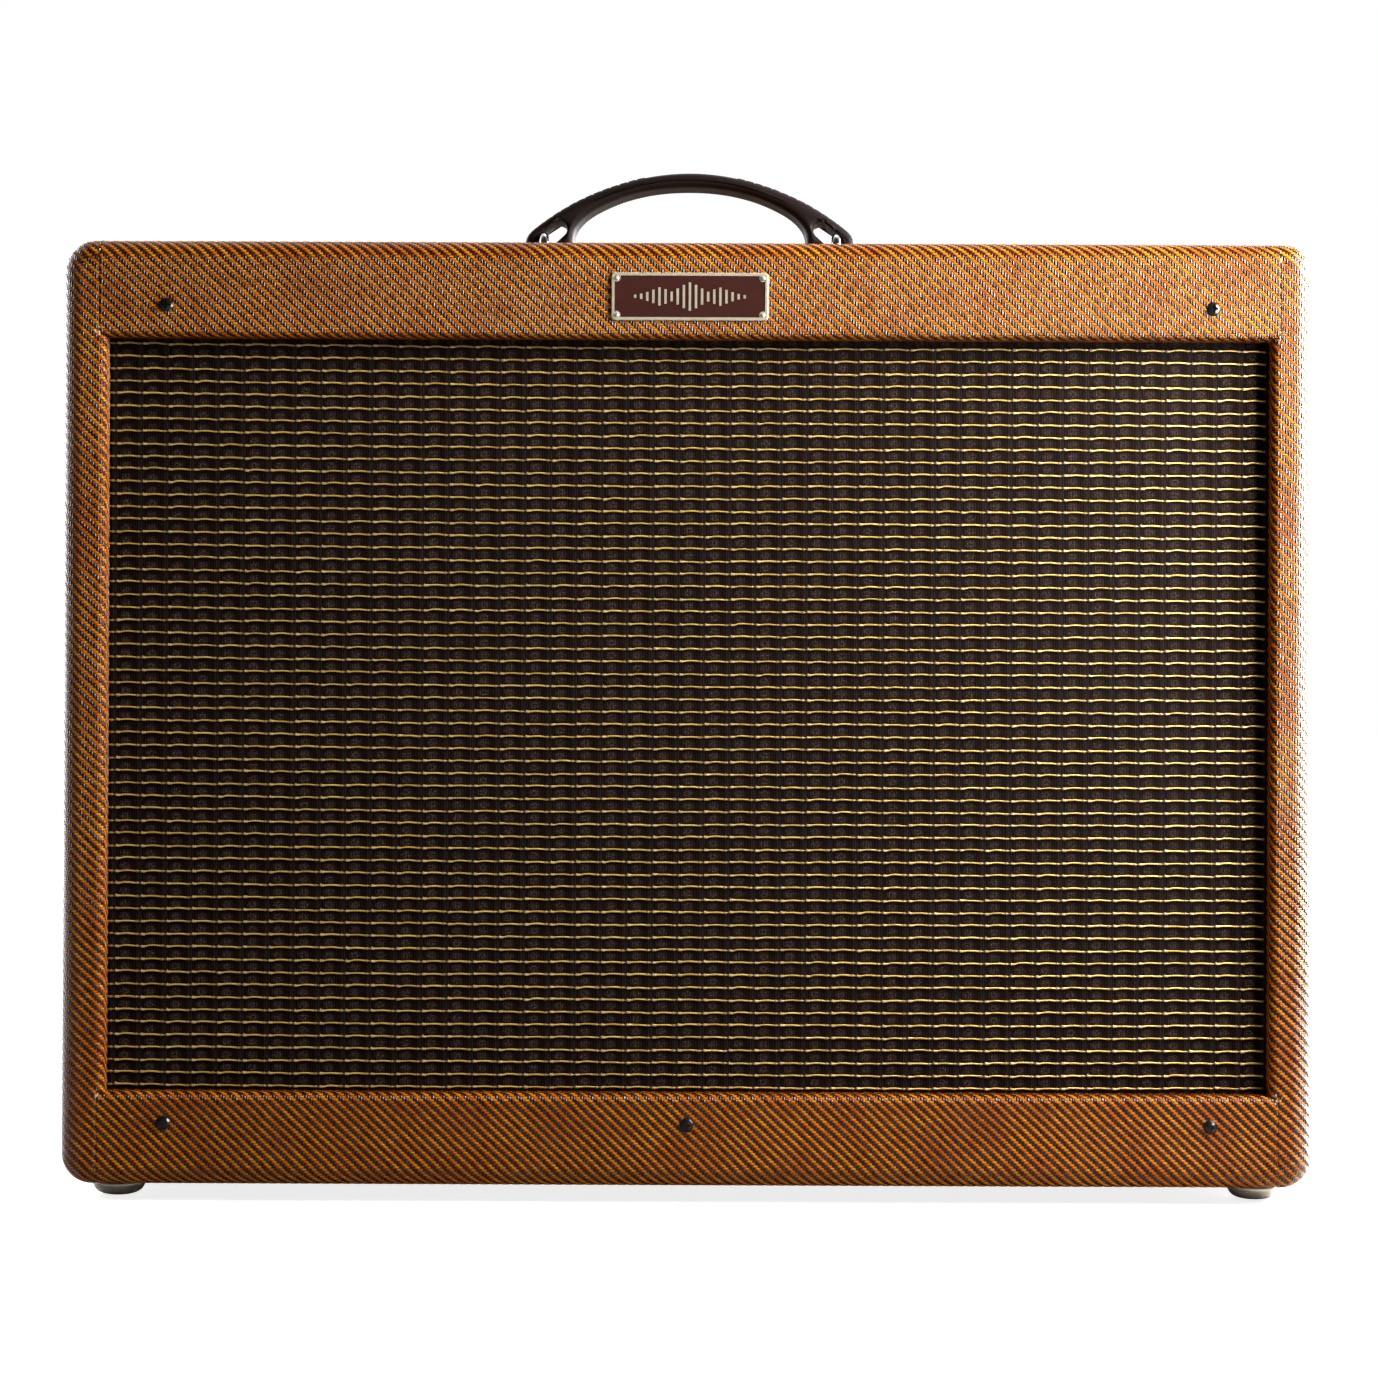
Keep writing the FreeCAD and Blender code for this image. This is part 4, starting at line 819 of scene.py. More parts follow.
def oxblood_material():
    """Dark ribbed cloth with pale bands at the knots and a mottled figure in each cell."""
    sh = Shader("oxblood_cloth")
    uv = sh.uv()
    x, z, _ = sh.split(uv)               # in millimetres
    in_cell = (x / CELL).fract()
    in_row = (z / ROW).fract()
    rib = (x * (PI * 2 / RIB)).sin() * 0.5 + 0.5
    pick = (z * (PI * 2 / PICK)).sin() * 0.5 + 0.5
    band = sh.ramp((in_cell - 0.92).abs().min(in_cell + 0.08), span=(0.05, 0.13), to=(1.0, 0.0))
    stitch = sh.chance((x / RIB).floor(), (z / PICK).floor(), 1.0)
    # the figure: a wobbling ring with a core and a veil round it, broken up by grit
    wobble = sh.noise(sh.stretch(uv, 0.55), scale=1.0, detail=1.0)
    from_x = (in_cell - 0.36) * CELL + (wobble - 0.5) * 1.2
    from_z = (in_row - 0.5) * ROW
    radius = (from_x * from_x + from_z * from_z * 1.3).sqrt()
    ring = sh.ramp((radius - 1.25).abs(), span=(0.15, 0.75), to=(1.0, 0.0))
    core = sh.ramp(radius, span=(0.30, 0.75), to=(0.8, 0.0))
    veil = sh.ramp(radius, span=(1.8, 3.4), to=(0.45, 0.0))
    grit = sh.ramp(sh.noise(sh.stretch(uv, 1.25), scale=1.0, rough=0.7), span=(0.40, 0.62))
    dots = ring.max(core).max(veil) * grit * sh.ramp((in_row - 0.5).abs(), span=(0.30, 0.46),
                                                     to=(1.0, 0.0))
    patches = sh.noise(uv, scale=0.035, detail=3.0)
    colour = sh.mix(rib, (0.0010, 0.0005, 0.0005), (0.0105, 0.0048, 0.0044))
    colour = sh.mix(band * 0.45, colour, (0.024, 0.020, 0.017))
    colour = sh.mix(dots * 0.75 * (0.35 + 0.65 * pick), colour, (0.150, 0.112, 0.115))
    colour = sh.mix(sh.ramp(stitch, span=(0.0, 0.12), to=(1.0, 0.0)) * 0.4, colour,
                    (0.050, 0.008, 0.007))
    return sh.set(color=sh.scale(colour, 0.75 + 0.5 * patches), rough=0.7, spec=0.02,
                  normal=sh.bump(rib * 0.8 + pick * 0.35 + stitch * 0.3,
                                 depth=0.00030, strength=0.9))


def thread_material():
    """Gold thread, paler at the knot and browner at the tail and in the gap of each cell."""
    sh = Shader("gold_thread")
    cell, row, _ = sh.split(sh.uv())
    along = cell.fract()
    shade = sh.chance(cell.floor(), row.floor(), 2.0)
    ply = ((cell * 60.0 + row * 3.0) * PI).sin() * 0.5 + 0.5
    knot = sh.ramp(along, span=(0.13, 0.17), to=(1.0, 0.0))
    tail = sh.ramp((along - 0.84).abs(), span=(0.05, 0.08), to=(1.0, 0.0))
    gap = sh.ramp(along, span=(0.89, 0.91))
    colour = sh.mix(shade, (0.64, 0.40, 0.060), (0.86, 0.60, 0.13))
    colour = sh.mix(knot * 0.8, colour, (0.78, 0.62, 0.38))
    colour = sh.mix(tail, colour, (0.38, 0.24, 0.085))
    colour = sh.mix(gap, colour, (0.30, 0.17, 0.045))
    return sh.set(color=sh.scale(colour, 0.66 + 0.30 * ply), rough=0.38, metal=0.15,
                  normal=sh.bump(ply, depth=0.00008, strength=0.6), spec=0.4)


def cup_metal():
    """Polished plated steel, with near-black patches painted as reflections of dark surroundings.
    """
    sh = Shader("cup_metal")
    o = sh.obj()
    cloud = sh.noise(o, scale=55.0, detail=3.0)
    fine = sh.noise(o, scale=700.0, detail=3.0)
    colour = sh.mix(cloud, (0.88, 0.84, 0.74), (0.66, 0.60, 0.50))
    # painted reflection: near-black patches where the cup would mirror dark surroundings
    colour = sh.mix(sh.ramp(cloud, span=(0.56, 0.62)) * 0.85, colour, (0.030, 0.028, 0.026))
    return sh.set(color=sh.scale(colour, 0.85 + 0.25 * fine), metal=0.45, coat=0.4,
                  rough=0.20 + 0.15 * (fine - 0.5), coat_rough=0.05,
                  normal=sh.bump(fine, depth=0.00003, strength=0.4))


def glass_material():
    sh = Shader("valve_glass")
    o = sh.obj()
    return sh.set(color=(0.96, 0.98, 0.98), trans=1.0, ior=1.45,
                  rough=0.02 + sh.noise(o, scale=60.0, detail=3.0) * 0.05,
                  normal=sh.bump(sh.noise(o, scale=25.0), depth=0.0001, strength=0.4))


def jewel_material():
    sh = Shader("red_jewel")
    o = sh.obj()
    colour = sh.mix(sh.noise(o, scale=400.0), (0.75, 0.015, 0.01), (0.45, 0.004, 0.004))
    return sh.set(color=colour, rough=0.04, trans=0.65, ior=1.5, coat=0.6,
                  normal=sh.bump(sh.noise(o, scale=900.0, detail=1.0),
                                 depth=0.00002, strength=0.3))


def paper_material():
    sh = Shader("cone_paper")
    o = sh.obj()
    pulp = sh.noise(o, scale=700.0, detail=4.0, rough=0.7)
    patches = sh.noise(o, scale=30.0, detail=3.0)
    colour = sh.mix(pulp, (0.040, 0.036, 0.032), (0.075, 0.066, 0.056))
    return sh.set(color=sh.scale(colour, 0.7 + 0.6 * patches), rough=0.82,
                  normal=sh.bump(pulp, depth=0.00015, strength=0.9))


def surround_material():
    sh = Shader("doped_cloth")
    weave = sh.noise(sh.obj(), scale=1500.0)
    return sh.set(color=sh.mix(weave, (0.022, 0.020, 0.018), (0.050, 0.045, 0.038)),
                  rough=0.55, sheen=0.2, normal=sh.bump(weave, depth=0.0001, strength=0.8))


def yarn_end_material():
    sh = Shader("raw_yarn_end")
    fine = sh.noise(sh.obj(), scale=900.0)
    return sh.set(color=sh.mix(fine, (0.95, 0.86, 0.72), (0.80, 0.62, 0.42)), rough=0.5,
                  normal=sh.bump(fine, depth=0.0001, strength=0.6))


PINE = [wood("pine_" + letter, light=(0.62, 0.40, 0.20), dark=(0.46, 0.25, 0.10), axis=i)
        for i, letter in enumerate("xyz")]
PLY = wood("stained_plywood", light=(0.085, 0.052, 0.034), dark=(0.040, 0.023, 0.016), axis=0,
           ring=6.0, rough=0.6)
SATIN = satin_metal("plate_satin", light=(0.66, 0.62, 0.52), dark=(0.46, 0.43, 0.36),
                    rough=0.34, metal=0.25)
PANEL_PLATE = satin_metal("panel_plate", light=(0.82, 0.82, 0.81), dark=(0.66, 0.66, 0.66),
                          rough=0.20, metal=0.55)
CHROME = tinted_metal("chrome", (0.80, 0.79, 0.77), rough=0.08, scratch=0.06)
NICKEL = tinted_metal("warm_nickel", (0.60, 0.55, 0.48), rough=0.22, scratch=0.12)
ZINC = tinted_metal("zinc_plate", (0.55, 0.54, 0.50), rough=0.32, scratch=0.2, scale=45.0)
ALU = tinted_metal("satin_aluminium", (0.70, 0.70, 0.71), rough=0.30, scratch=0.15)
GETTER = tinted_metal("getter_flash", (0.45, 0.45, 0.48), rough=0.12, scratch=0.1)
BLACK_OXIDE = paint("black_oxide", (0.028, 0.027, 0.027), rough=0.24, scale=260.0, var=0.4,
                    bump=0.00002, metal=0.65)
RUBBER = paint("black_rubber", (0.016, 0.016, 0.017), rough=0.62, scale=120.0, var=0.3,
               bump=0.00004)
BLACK_PLASTIC = paint("black_plastic", (0.014, 0.014, 0.015), rough=0.30, scale=90.0, var=0.2,
                      bump=0.00002)
TRANSFORMER = paint("black_enamel", (0.018, 0.018, 0.020), rough=0.34, scale=60.0, var=0.3,
                    bump=0.00006, coat=0.4)
SPEAKER = paint("speaker_enamel", (0.055, 0.056, 0.062), rough=0.42, scale=50.0, var=0.3,
                bump=0.00008)
BOARD = paint("fibre_board", (0.030, 0.085, 0.040), rough=0.5, scale=60.0, var=0.3,
              bump=0.00004)
VALVE_PLATE = paint("valve_plate", (0.05, 0.05, 0.052), rough=0.5, scale=300.0, var=0.3,
                    bump=0.00005, metal=0.6)
INK = paint("panel_ink", (0.010, 0.010, 0.011), rough=0.45, scale=300.0, var=0.2, bump=0.00001)
ENAMEL = enamel_material()
CREAM = cream_material()
LEATHER = leather_material()
PAPER = paper_material()

# ------------------------------------------------------------- grille cloth
cloth_lo, cloth_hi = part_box("grille_cloth")
CLOTH_Y = cloth_lo.y
KNOT_X = -4.4                            # x of one column of knots, mm
FIRST_ROW_Z = (OPEN_Z1 / MM) - 4.44      # height of the top gold row, mm
LAST_ROW = 59
THREAD_END = 278.1                       # threads stop at this x on either side, mm


def cloth_wave(x, z):
    """Small unevenness of the stretched cloth, in metres."""
    return (0.10 * np.sin(x * 31 + 2.0 * np.sin(z * 9)) + 0.08 * np.sin(z * 37 + x * 11)) * MM


def grille_cloth():
    overlap = 0.9 * MM
    x, z = np.meshgrid(np.linspace(cloth_lo.x - overlap, cloth_hi.x + overlap, 365),
                       np.linspace(cloth_lo.z, cloth_hi.z, 273))
    # the columns of knots stand slightly proud
    in_cell = np.mod((x / MM - KNOT_X) / CELL, 1.0)
    ridge = np.exp(-((np.mod(in_cell + 0.06, 1.0) - 0.06) / 0.05) ** 2)
    y = CLOTH_Y + cloth_wave(x, z) + 0.20 * MM - 0.10 * MM * ridge
    sheet = Sheet()
    sheet.grid(stack(x, y, z), stack((x / MM - KNOT_X) + 50 * CELL,
                                     (z / MM - FIRST_ROW_Z) + 90 * ROW))
    cloth = sheet.build("grille_weave", oxblood_material())
    thicken(cloth, 0.0005)
    tell(cloth, "grille_cloth", "grille_weave")


# One cell of a gold thread, which floats between a pair of knots:
# (place in the cell, half height, half depth, stand-off), the last three in mm
THREAD_CELL = [
    (0.00, 0.34, 0.30, 0.40), (0.035, 0.74, 0.50, 0.62), (0.075, 0.42, 0.42, 0.70),
    (0.12, 0.64, 0.44, 0.62), (0.17, 0.38, 0.36, 0.72), (0.33, 0.38, 0.36, 0.92),
    (0.52, 0.39, 0.36, 0.98), (0.70, 0.37, 0.35, 0.82), (0.79, 0.42, 0.38, 0.62),
    (0.84, 0.66, 0.44, 0.55), (0.90, 0.32, 0.30, 0.40)]
cells = np.arange(math.floor((cloth_lo.x / MM - KNOT_X) / CELL),
                  math.ceil((cloth_hi.x / MM - KNOT_X) / CELL))


def thread_stations(row):
    """Stations (x, y, z, half height, half depth, cell) along one gold row, in mm."""
    phase = rng.uniform(0, 6.28, 3)
    # rows sag towards the sides, differently left and right and from top to bottom
    left_sag, right_sag = 1.8 - 1.1 * row / LAST_ROW, -0.3 + 1.1 * row / LAST_ROW
    stations = []
    for cell in cells:
        jitter = rng.normal(0, 0.10, 4)
        lift = rng.normal(0, 0.05)
        for k, (t, half_z, half_y, out) in enumerate(THREAD_CELL):
            x = KNOT_X + (cell + t) * CELL
            if x < -THREAD_END - 1.6 or x > THREAD_END + 1.6:
                continue
            x = min(max(x, -THREAD_END), THREAD_END)
            arch = 0.34 * math.sin(PI * min(max((t - 0.13) / 0.66, 0), 1))
            reach = x / 278.0
            sag = reach * reach * (left_sag if reach < 0 else right_sag)
            z = (FIRST_ROW_Z - row * ROW + sag + arch + 0.16 * math.sin(x * 0.021 + phase[0])
                 + 0.10 * math.sin(x * 0.11 + phase[1]) + jitter[0 if t < 0.2 else 1] * 0.9)
            if k == 1:                   # the knot's first lobe sits high
                z += 0.12 + jitter[2]
            y = (CLOTH_Y / MM + float(cloth_wave(x * MM, z * MM)) / MM + 0.1 - out * 0.62
                 - (lift if 0.2 < t < 0.75 else 0))
            stations.append((x, y, z, half_z * (1 + jitter[3] * 0.6), half_y, cell + t))
    return stations


def threads(name, rows):
    """Square-sectioned gold threads; u counts cells and v counts rows."""
    verts, faces, uvs = [], [], []
    diagonals = [(math.cos(a), math.sin(a)) for a in (PI / 4 + PI / 2 * i for i in range(4))]
    for row in rows:
        base = len(verts)
        stations = thread_stations(row)
        for x, y, z, half_z, half_y, _ in stations:
            for dz, dy in diagonals:
                verts.append((x * MM, (y + dy * half_y * 1.25) * MM,
                              (z + dz * half_z * 1.25) * MM))
        us = [station[5] + 60 for station in stations]
        for i in range(len(stations) - 1):
            here, there = base + 4 * i, base + 4 * (i + 1)
            for j in range(4):
                k = (j + 1) % 4
                faces.append((here + j, there + j, there + k, here + k))
                v0, v1 = row + j / 4, row + (j + 1) / 4 - 0.001
                uvs += [(us[i], v0), (us[i + 1], v0), (us[i + 1], v1), (us[i], v1)]
        last = base + 4 * (len(stations) - 1)
        faces.append(tuple(base + j for j in range(4)))
        faces.append(tuple(last + j for j in (3, 2, 1, 0)))
        uvs += [(us[0], row)] * 4 + [(us[-1], row)] * 4
    me = bpy.data.meshes.new(name)
    me.from_pydata(verts, [], faces)
    me.uv_layers.new(name="weave").data.foreach_set("uv", np.array(uvs, np.float32).reshape(-1))
    tell(place(name, me, GOLD), "grille_cloth", "grille_weave")


grille_cloth()
GOLD = thread_material()
half_rows = (LAST_ROW + 1) // 2
threads("grille_threads_upper", range(0, half_rows))
threads("grille_threads_lower", range(half_rows, LAST_ROW + 1))

# ------------------------------------------------------------------- handle
grip_lo, grip_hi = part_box("handle_grip")
GRIP_Y = (grip_lo.y + grip_hi.y) / 2
GRIP_HALF = (grip_hi.y - grip_lo.y) / 2 / MM
# Right half of the outline: (x, height above the cabinet's top), mm
TOP_LINE = [(0, 45.6), (9, 45.22), (17.6, 44.17), (25.7, 42.56), (33.8, 40.28), (41.8, 37.62),
            (49.9, 34.29), (58.0, 30.4), (66.0, 25.64), (74.0, 20.13), (79.6, 15.57)]
END_LINE = [(81.9, 12.2), (82.4, 8.4), (81.0, 4.8), (77.6, 2.7), (72.5, 2.4), (67.0, 2.4),
            (62.0, 2.6), (59.4, 4.4), (58.4, 8.0), (58.2, 13.0)]
UNDER_LINE = [(57.0, 17.47), (53.6, 22.03), (48.5, 26.02), (41.8, 29.63), (33.8, 32.96),
              (25.7, 35.34), (17.6, 36.95), (9, 37.9)]
UNDER_MIDDLE = (0, 38.19)
# Slot through each foot of the handle, mm
SLOT_UPPER, SLOT_LOWER = np.array([65.7, 16.9]), np.array([72.2, 10.9])
SLOT_R = 4.2
GRIP_ROUND, SLOT_ROUND = 3.6, 1.6        # rounding of the outline's and the slots' edges
SLOT_SINK = 0.25                         # the slots' rims lie this far in from the flanks
CROWN = 0.9                              # fall of the upper surface towards its edges


def smooth_closed(points, count):
    """Smooth closed curve through the points, resampled to count points evenly by length."""
    p = np.array(points, float)
    m = len(p)
    dense = np.array([catmull_rom(p[i - 1], p[i], p[(i + 1) % m], p[(i + 2) % m], t)
                      for i in range(m) for t in np.linspace(0, 1, 12, endpoint=False)])
    following = np.roll(dense, -1, 0)
    steps = np.linalg.norm(following - dense, axis=1)
    run = np.concatenate([[0], np.cumsum(steps)])
    out = []
    for s in np.linspace(0, run[-1], count, endpoint=False):
        i = int(np.searchsorted(run, s, side="right")) - 1
        t = (s - run[i]) / max(steps[i], 1e-9)
        out.append(dense[i] * (1 - t) + following[i] * t)
    return np.array(out)


def loop_normals(p):
    """Outward normals of a closed loop."""
    t = np.roll(p, -1, 0) - np.roll(p, 1, 0)
    t /= np.linalg.norm(t, axis=1)[:, None]
    n = np.stack([t[:, 1], -t[:, 0]], -1)
    area = 0.5 * np.sum(p[:, 0] * np.roll(p[:, 1], -1) - np.roll(p[:, 0], -1) * p[:, 1])
    return n if area > 0 else -n


def slot_loop(side):
    along = SLOT_LOWER - SLOT_UPPER
    along /= np.linalg.norm(along)
    across = np.array([-along[1], along[0]])
    points = []
    for centre, way in ((SLOT_LOWER, 1), (SLOT_UPPER, -1)):
        for i in range(22):
            a = PI * i / 21
            points.append(centre + way * SLOT_R * (across * math.cos(a) + along * math.sin(a)))
    p = np.array(points)
    p[:, 0] *= side
    return p


def rounded_profile(radius, count, sink=0.0):
    """(inset, y) across the handle's width, rounded at both flanks, in mm."""
    edge = [(radius * (1 - math.sin(t)), -GRIP_HALF + sink + radius * (1 - math.cos(t)))
            for t in np.linspace(0, QUARTER, count)]
    flat = np.linspace(-GRIP_HALF + radius, GRIP_HALF - radius, count)[1:-1]
    return edge + [(0.0, y) for y in flat] + [(d, -y) for d, y in reversed(edge)]


def handle():
    half = TOP_LINE + END_LINE + UNDER_LINE
    outline = smooth_closed(half + [UNDER_MIDDLE] + [(-x, z) for x, z in reversed(half[1:])], 260)
    outline_normals = loop_normals(outline)
    bm = bmesh.new()
    rings = []
    for inset, y in rounded_profile(GRIP_ROUND, 7):
        ring = []
        for (x, z), (nx, nz) in zip(outline, outline_normals):
            upward = max(nz, 0.0) * max(0.0, 1 - (abs(x) / 80) ** 4)
            drop = CROWN * (y / GRIP_HALF) ** 2 * upward
            ring.append(bm.verts.new((x * MM - nx * inset * MM, GRIP_Y + y * MM,
                                      TOP_Z + (z - drop) * MM - nz * inset * MM)))
        rings.append(ring)
    skin(bm, rings)
    front_loops, back_loops = [rings[0]], [rings[-1]]
    for side in (-1, 1):
        loop = slot_loop(side)
        normals = loop_normals(loop)
        rings = [[bm.verts.new((x * MM + nx * inset * MM, GRIP_Y + y * MM,
                                TOP_Z + z * MM + nz * inset * MM))
                  for (x, z), (nx, nz) in zip(loop, normals)]
                 for inset, y in rounded_profile(SLOT_ROUND, 5, sink=SLOT_SINK)]
        for a, b in zip(rings[:-1], rings[1:]):
            skin(bm, (b, a))
        front_loops.append(rings[0])
        back_loops.append(rings[-1])
    # flanks, filled round the slots
    for loops in (front_loops, back_loops):
        edges = [bm.edges.get((ring[i], ring[(i + 1) % len(ring)]))
                 for ring in loops for i in range(len(ring))]
        bmesh.ops.triangle_fill(bm, use_beauty=True, use_dissolve=False, edges=edges)
    bmesh.ops.remove_doubles(bm, verts=bm.verts, dist=1e-6)
    grip = place("handle", to_mesh(bm, "handle", recalc=True), LEATHER)
    tell(grip, "handle_grip", "handle_leather", "handle_body")


def handle_stitches():
    """Stitches along both upper edges, leaving the middle bare. Lengths in mm."""
    pitch, length, lead, bare_half = 4.6, 3.0, 0.6, 22
    inset, sink, radius = 3.1, 0.75, 0.62
    top = np.array([(-x, z) for x, z in reversed(TOP_LINE[1:])] + TOP_LINE, float)
    run = np.concatenate([[0], np.cumsum(np.linalg.norm(np.diff(top, axis=0), axis=1))])

    def point_at(s):
        return np.interp(s, run, top[:, 0]), np.interp(s, run, top[:, 1])

    items = []
    k = 0
    while k * pitch + 3.4 < run[-1]:
        start = k * pitch + lead
        xa, za = point_at(start)
        xb, zb = point_at(start + length)
        k += 1
        if abs((xa + xb) / 2) < bare_half:
            continue
        for side in (-1, 1):
            y = GRIP_Y + side * (GRIP_HALF - inset) * MM
            items.append(((xa * MM, y, TOP_Z + (za - sink) * MM),
                          (xb * MM, y, TOP_Z + (zb - sink) * MM), radius * MM))
    stitches = capsules("handle_stitches", items, LEATHER, end_rings=3)
    tell(stitches, "handle_grip", "handle_leather", "handle_body")


handle()
handle_stitches()

# --------------------------------------------------------- carried-over nodes
KNOBS = ["knob_" + k for k in ("volume", "drive", "treble", "bass", "middle", "master",
                               "reverb", "presence")]
# (material, bevel width in mm, nodes)
FINISHES = [
    (PINE[0], 0.6, "top_panel bottom_panel"),
    (PINE[2], 0.6, "side_panel_left side_panel_right"),
    (PINE[0], 0.5, "front_rails"),
    (PINE[2], 0.8, "cleats"),
    (PLY, 0.2, "baffle_board"),
    (PLY, 0.5, "upper_back_panel lower_back_panel"),
    (BLACK_OXIDE, 0.12, "front_screws"),
    (SATIN, 0.15, "nameplate_frame"),
    (SATIN, 0.2, "nameplate_pins"),
    (ENAMEL, 0.2, "nameplate_enamel"),
    (CHROME, 0.3, "handle_brackets"),
    (CHROME, 0.15, "handle_screws chassis_bolts back_panel_screws"),
    (RUBBER, 0.2, "glide_pads"),
    (CHROME, 0.2, "pilot_bezel power_toggle standby_toggle"),
    (PANEL_PLATE, 0.3, "control_panel"),
    (ZINC, 0.0, "chassis reverb_tank"),
    (ZINC, 0.25, "potentiometers"),
    (ZINC, 0.2, "speaker_bolts"),
    (NICKEL, 0.25, "switch_bodies jack_sockets"),
    (BLACK_PLASTIC, 0.2, "bright_button drive_button fuse_cap tube_sockets"),
    (BOARD, 0.2, "circuit_board"),
    (TRANSFORMER, 0.8, "power_transformer"),
    (TRANSFORMER, 0.7, "output_transformer"),
    (ALU, 0.2, "preamp_tube_shields"),
    (SPEAKER, 0.2, "speaker_frame speaker_magnet"),
    (CREAM, 0.45, " ".join(KNOBS))]


def finish_node(ob, material, width):
    ob.data.materials.clear()
    ob.data.materials.append(material)
    ob.data.shade_smooth()
    if width > 0:
        bevel = ob.modifiers.new("soft_edges", "BEVEL")
        bevel.width, bevel.segments = width * MM, 2
        bevel.limit_method, bevel.angle_limit = "ANGLE", math.radians(32)
    split_edges(ob, 32)


for material, width, names in FINISHES:
    for name in names.split():
        finish_node(NODES[name], material, width)

# -------------------------------------------------------------------- glides
CUP_R = 12.65
# (radius, height) in mm: the cup, then the stem up into the bottom board
CUP = [(0, 0), (4.2, 0), (6.4, 0.15), (8.1, 0.55), (9.6, 1.20), (10.8, 2.05), (11.6, 3.0),
       (12.15, 4.0), (12.5, 5.0), (CUP_R, 5.8), (12.5, 6.25), (12.1, 6.38), (1.9, 6.38),
       (1.9, BASE_Z / MM + 12.8), (0, BASE_Z / MM + 15.8)]
glide_lo, glide_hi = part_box("glides")
cups = join("glide_cups",
            [lathe(CUP, (x, y, 0.0), seg=72)
             for x in (glide_lo.x + CUP_R * MM, glide_hi.x - CUP_R * MM)
             for y in (glide_lo.y + CUP_R * MM, glide_hi.y - CUP_R * MM)], cup_metal())
# the cups carry a second edge split
split_edges(cups, 40)
tell(cups, "glides", "chrome_trim")

# ---------------------------------------------------------------- the valves
# They hang down from their bases. Profiles are (radius, height) in mm.
VALVE_R = 17.8
VALVE_BASE = [(0, 0), (16.0, 0), (16.2, -0.6), (16.2, -13.2), (15.6, -14), (0, -14)]
BULB = [(14.6, -14.05), (15.2, -16), (16.6, -21), (17.6, -28), (VALVE_R, -44), (17.7, -60),
        (17.2, -72), (15.8, -81), (13.0, -88), (9, -93), (4.5, -96.6), (0, -97.9)]
BULB_INSIDE = [(r - 0.9 if r > 1 else 0, h + (0 if i < 9 else 0.9))
               for i, (r, h) in enumerate(BULB)]
GETTER_CUP = [(0, -96.4), (4.0, -95.2), (8.3, -91.9), (12.0, -87.2), (11.6, -87.0),
              (8.0, -91.4), (3.9, -94.6), (0, -95.8)]
# Cross-section of the anode: (x, y) in mm before narrowing
ANODE = [(-11, 1.0), (-8, 4.5), (-3, 6.5), (3, 6.5), (8, 4.5), (11, 1.0),
         (11, -1.0), (8, -4.5), (3, -6.5), (-3, -6.5), (-8, -4.5), (-11, -1.0)]
ANODE_NARROWING = 0.97


def disc(height, centre):
    return lathe([(0, height), (12.5, height), (12.5, height - 0.6), (0, height - 0.6)],
                 centre, seg=24)


def anode(centre):
    bm = bmesh.new()
    rings = [[bm.verts.new((centre[0] + x * ANODE_NARROWING * MM,
                            centre[1] + y * ANODE_NARROWING * MM, centre[2] + z * MM))
              for x, y in ANODE] for z in np.linspace(-26, -68, 8)]
    skin(bm, rings)
    bm.faces.new(rings[0][::-1])
    bm.faces.new(rings[-1])
    return to_mesh(bm, "part")


def valves():
    lo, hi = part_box("power_tubes")
    bulbs, bases, electrodes, getters = [], [], [], []
    for x in (lo.x + VALVE_R * MM, hi.x - VALVE_R * MM):
        centre = (x, (lo.y + hi.y) / 2, hi.z)
        bases.append(lathe(VALVE_BASE, centre, seg=48))
        bulbs.append(lathe(BULB + BULB_INSIDE[::-1], centre, seg=56))
        electrodes += [disc(-24, centre), disc(-70, centre), anode(centre)]
        getters.append(lathe(GETTER_CUP, centre, seg=40))
    for name, meshes, material, slot in (
            ("valve_bulbs", bulbs, glass_material(), "tube_glass"),
            ("valve_bases", bases, BLACK_PLASTIC, "black_plastic"),
            ("valve_electrodes", electrodes, VALVE_PLATE, "transformer_black"),
            ("valve_getters", getters, GETTER, "zinc_steel")):
        tell(join(name, meshes, material), "power_tubes", slot)


valves()


# -------------------------------------------------------- pilot lamp's jewel
def jewel():
    """Twelve-sided faceted stone."""
    # (radius, height, turn in half facets), mm above the panel
    levels = [(5.9, -12, 0), (5.9, 3.6, 0), (5.5, 5.2, 0), (4.4, 7.2, 1), (2.6, 8.8, 0)]
    apex_height, sides = 9.4, 12
    lo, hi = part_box("pilot_jewel")
    x, y = (lo.x + hi.x) / 2, (lo.y + hi.y) / 2
    bm = bmesh.new()
    rings = [[bm.verts.new((x + r * math.cos(a + PI / sides * turn) * MM,
                            y + r * math.sin(a + PI / sides * turn) * MM, INNER_Z1 + h * MM))
              for a in around(sides)] for r, h, turn in levels]
    skin(bm, rings)
    bm.faces.new(rings[0][::-1])
    skin(bm, [rings[-1], [bm.verts.new((x, y, INNER_Z1 + apex_height * MM))]])
    stone = place("jewel", to_mesh(bm, "jewel", recalc=True), jewel_material(), smooth=False)
    tell(stone, "pilot_jewel", "red_jewel")


jewel()

# -------------------------------------------------------------- loudspeaker
speaker_lo, speaker_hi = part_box("speaker_frame")
SPEAKER_CENTRE = ((speaker_lo.x + speaker_hi.x) / 2, speaker_lo.y,
                  (speaker_lo.z + speaker_hi.z) / 2)


def turned_speaker_part(name, profile, seg, material, node, slot, body):
    me = lathe(profile, SPEAKER_CENTRE, seg=seg, axis="Y", name=name)
    tell(place(name, me, material), node, slot, body)


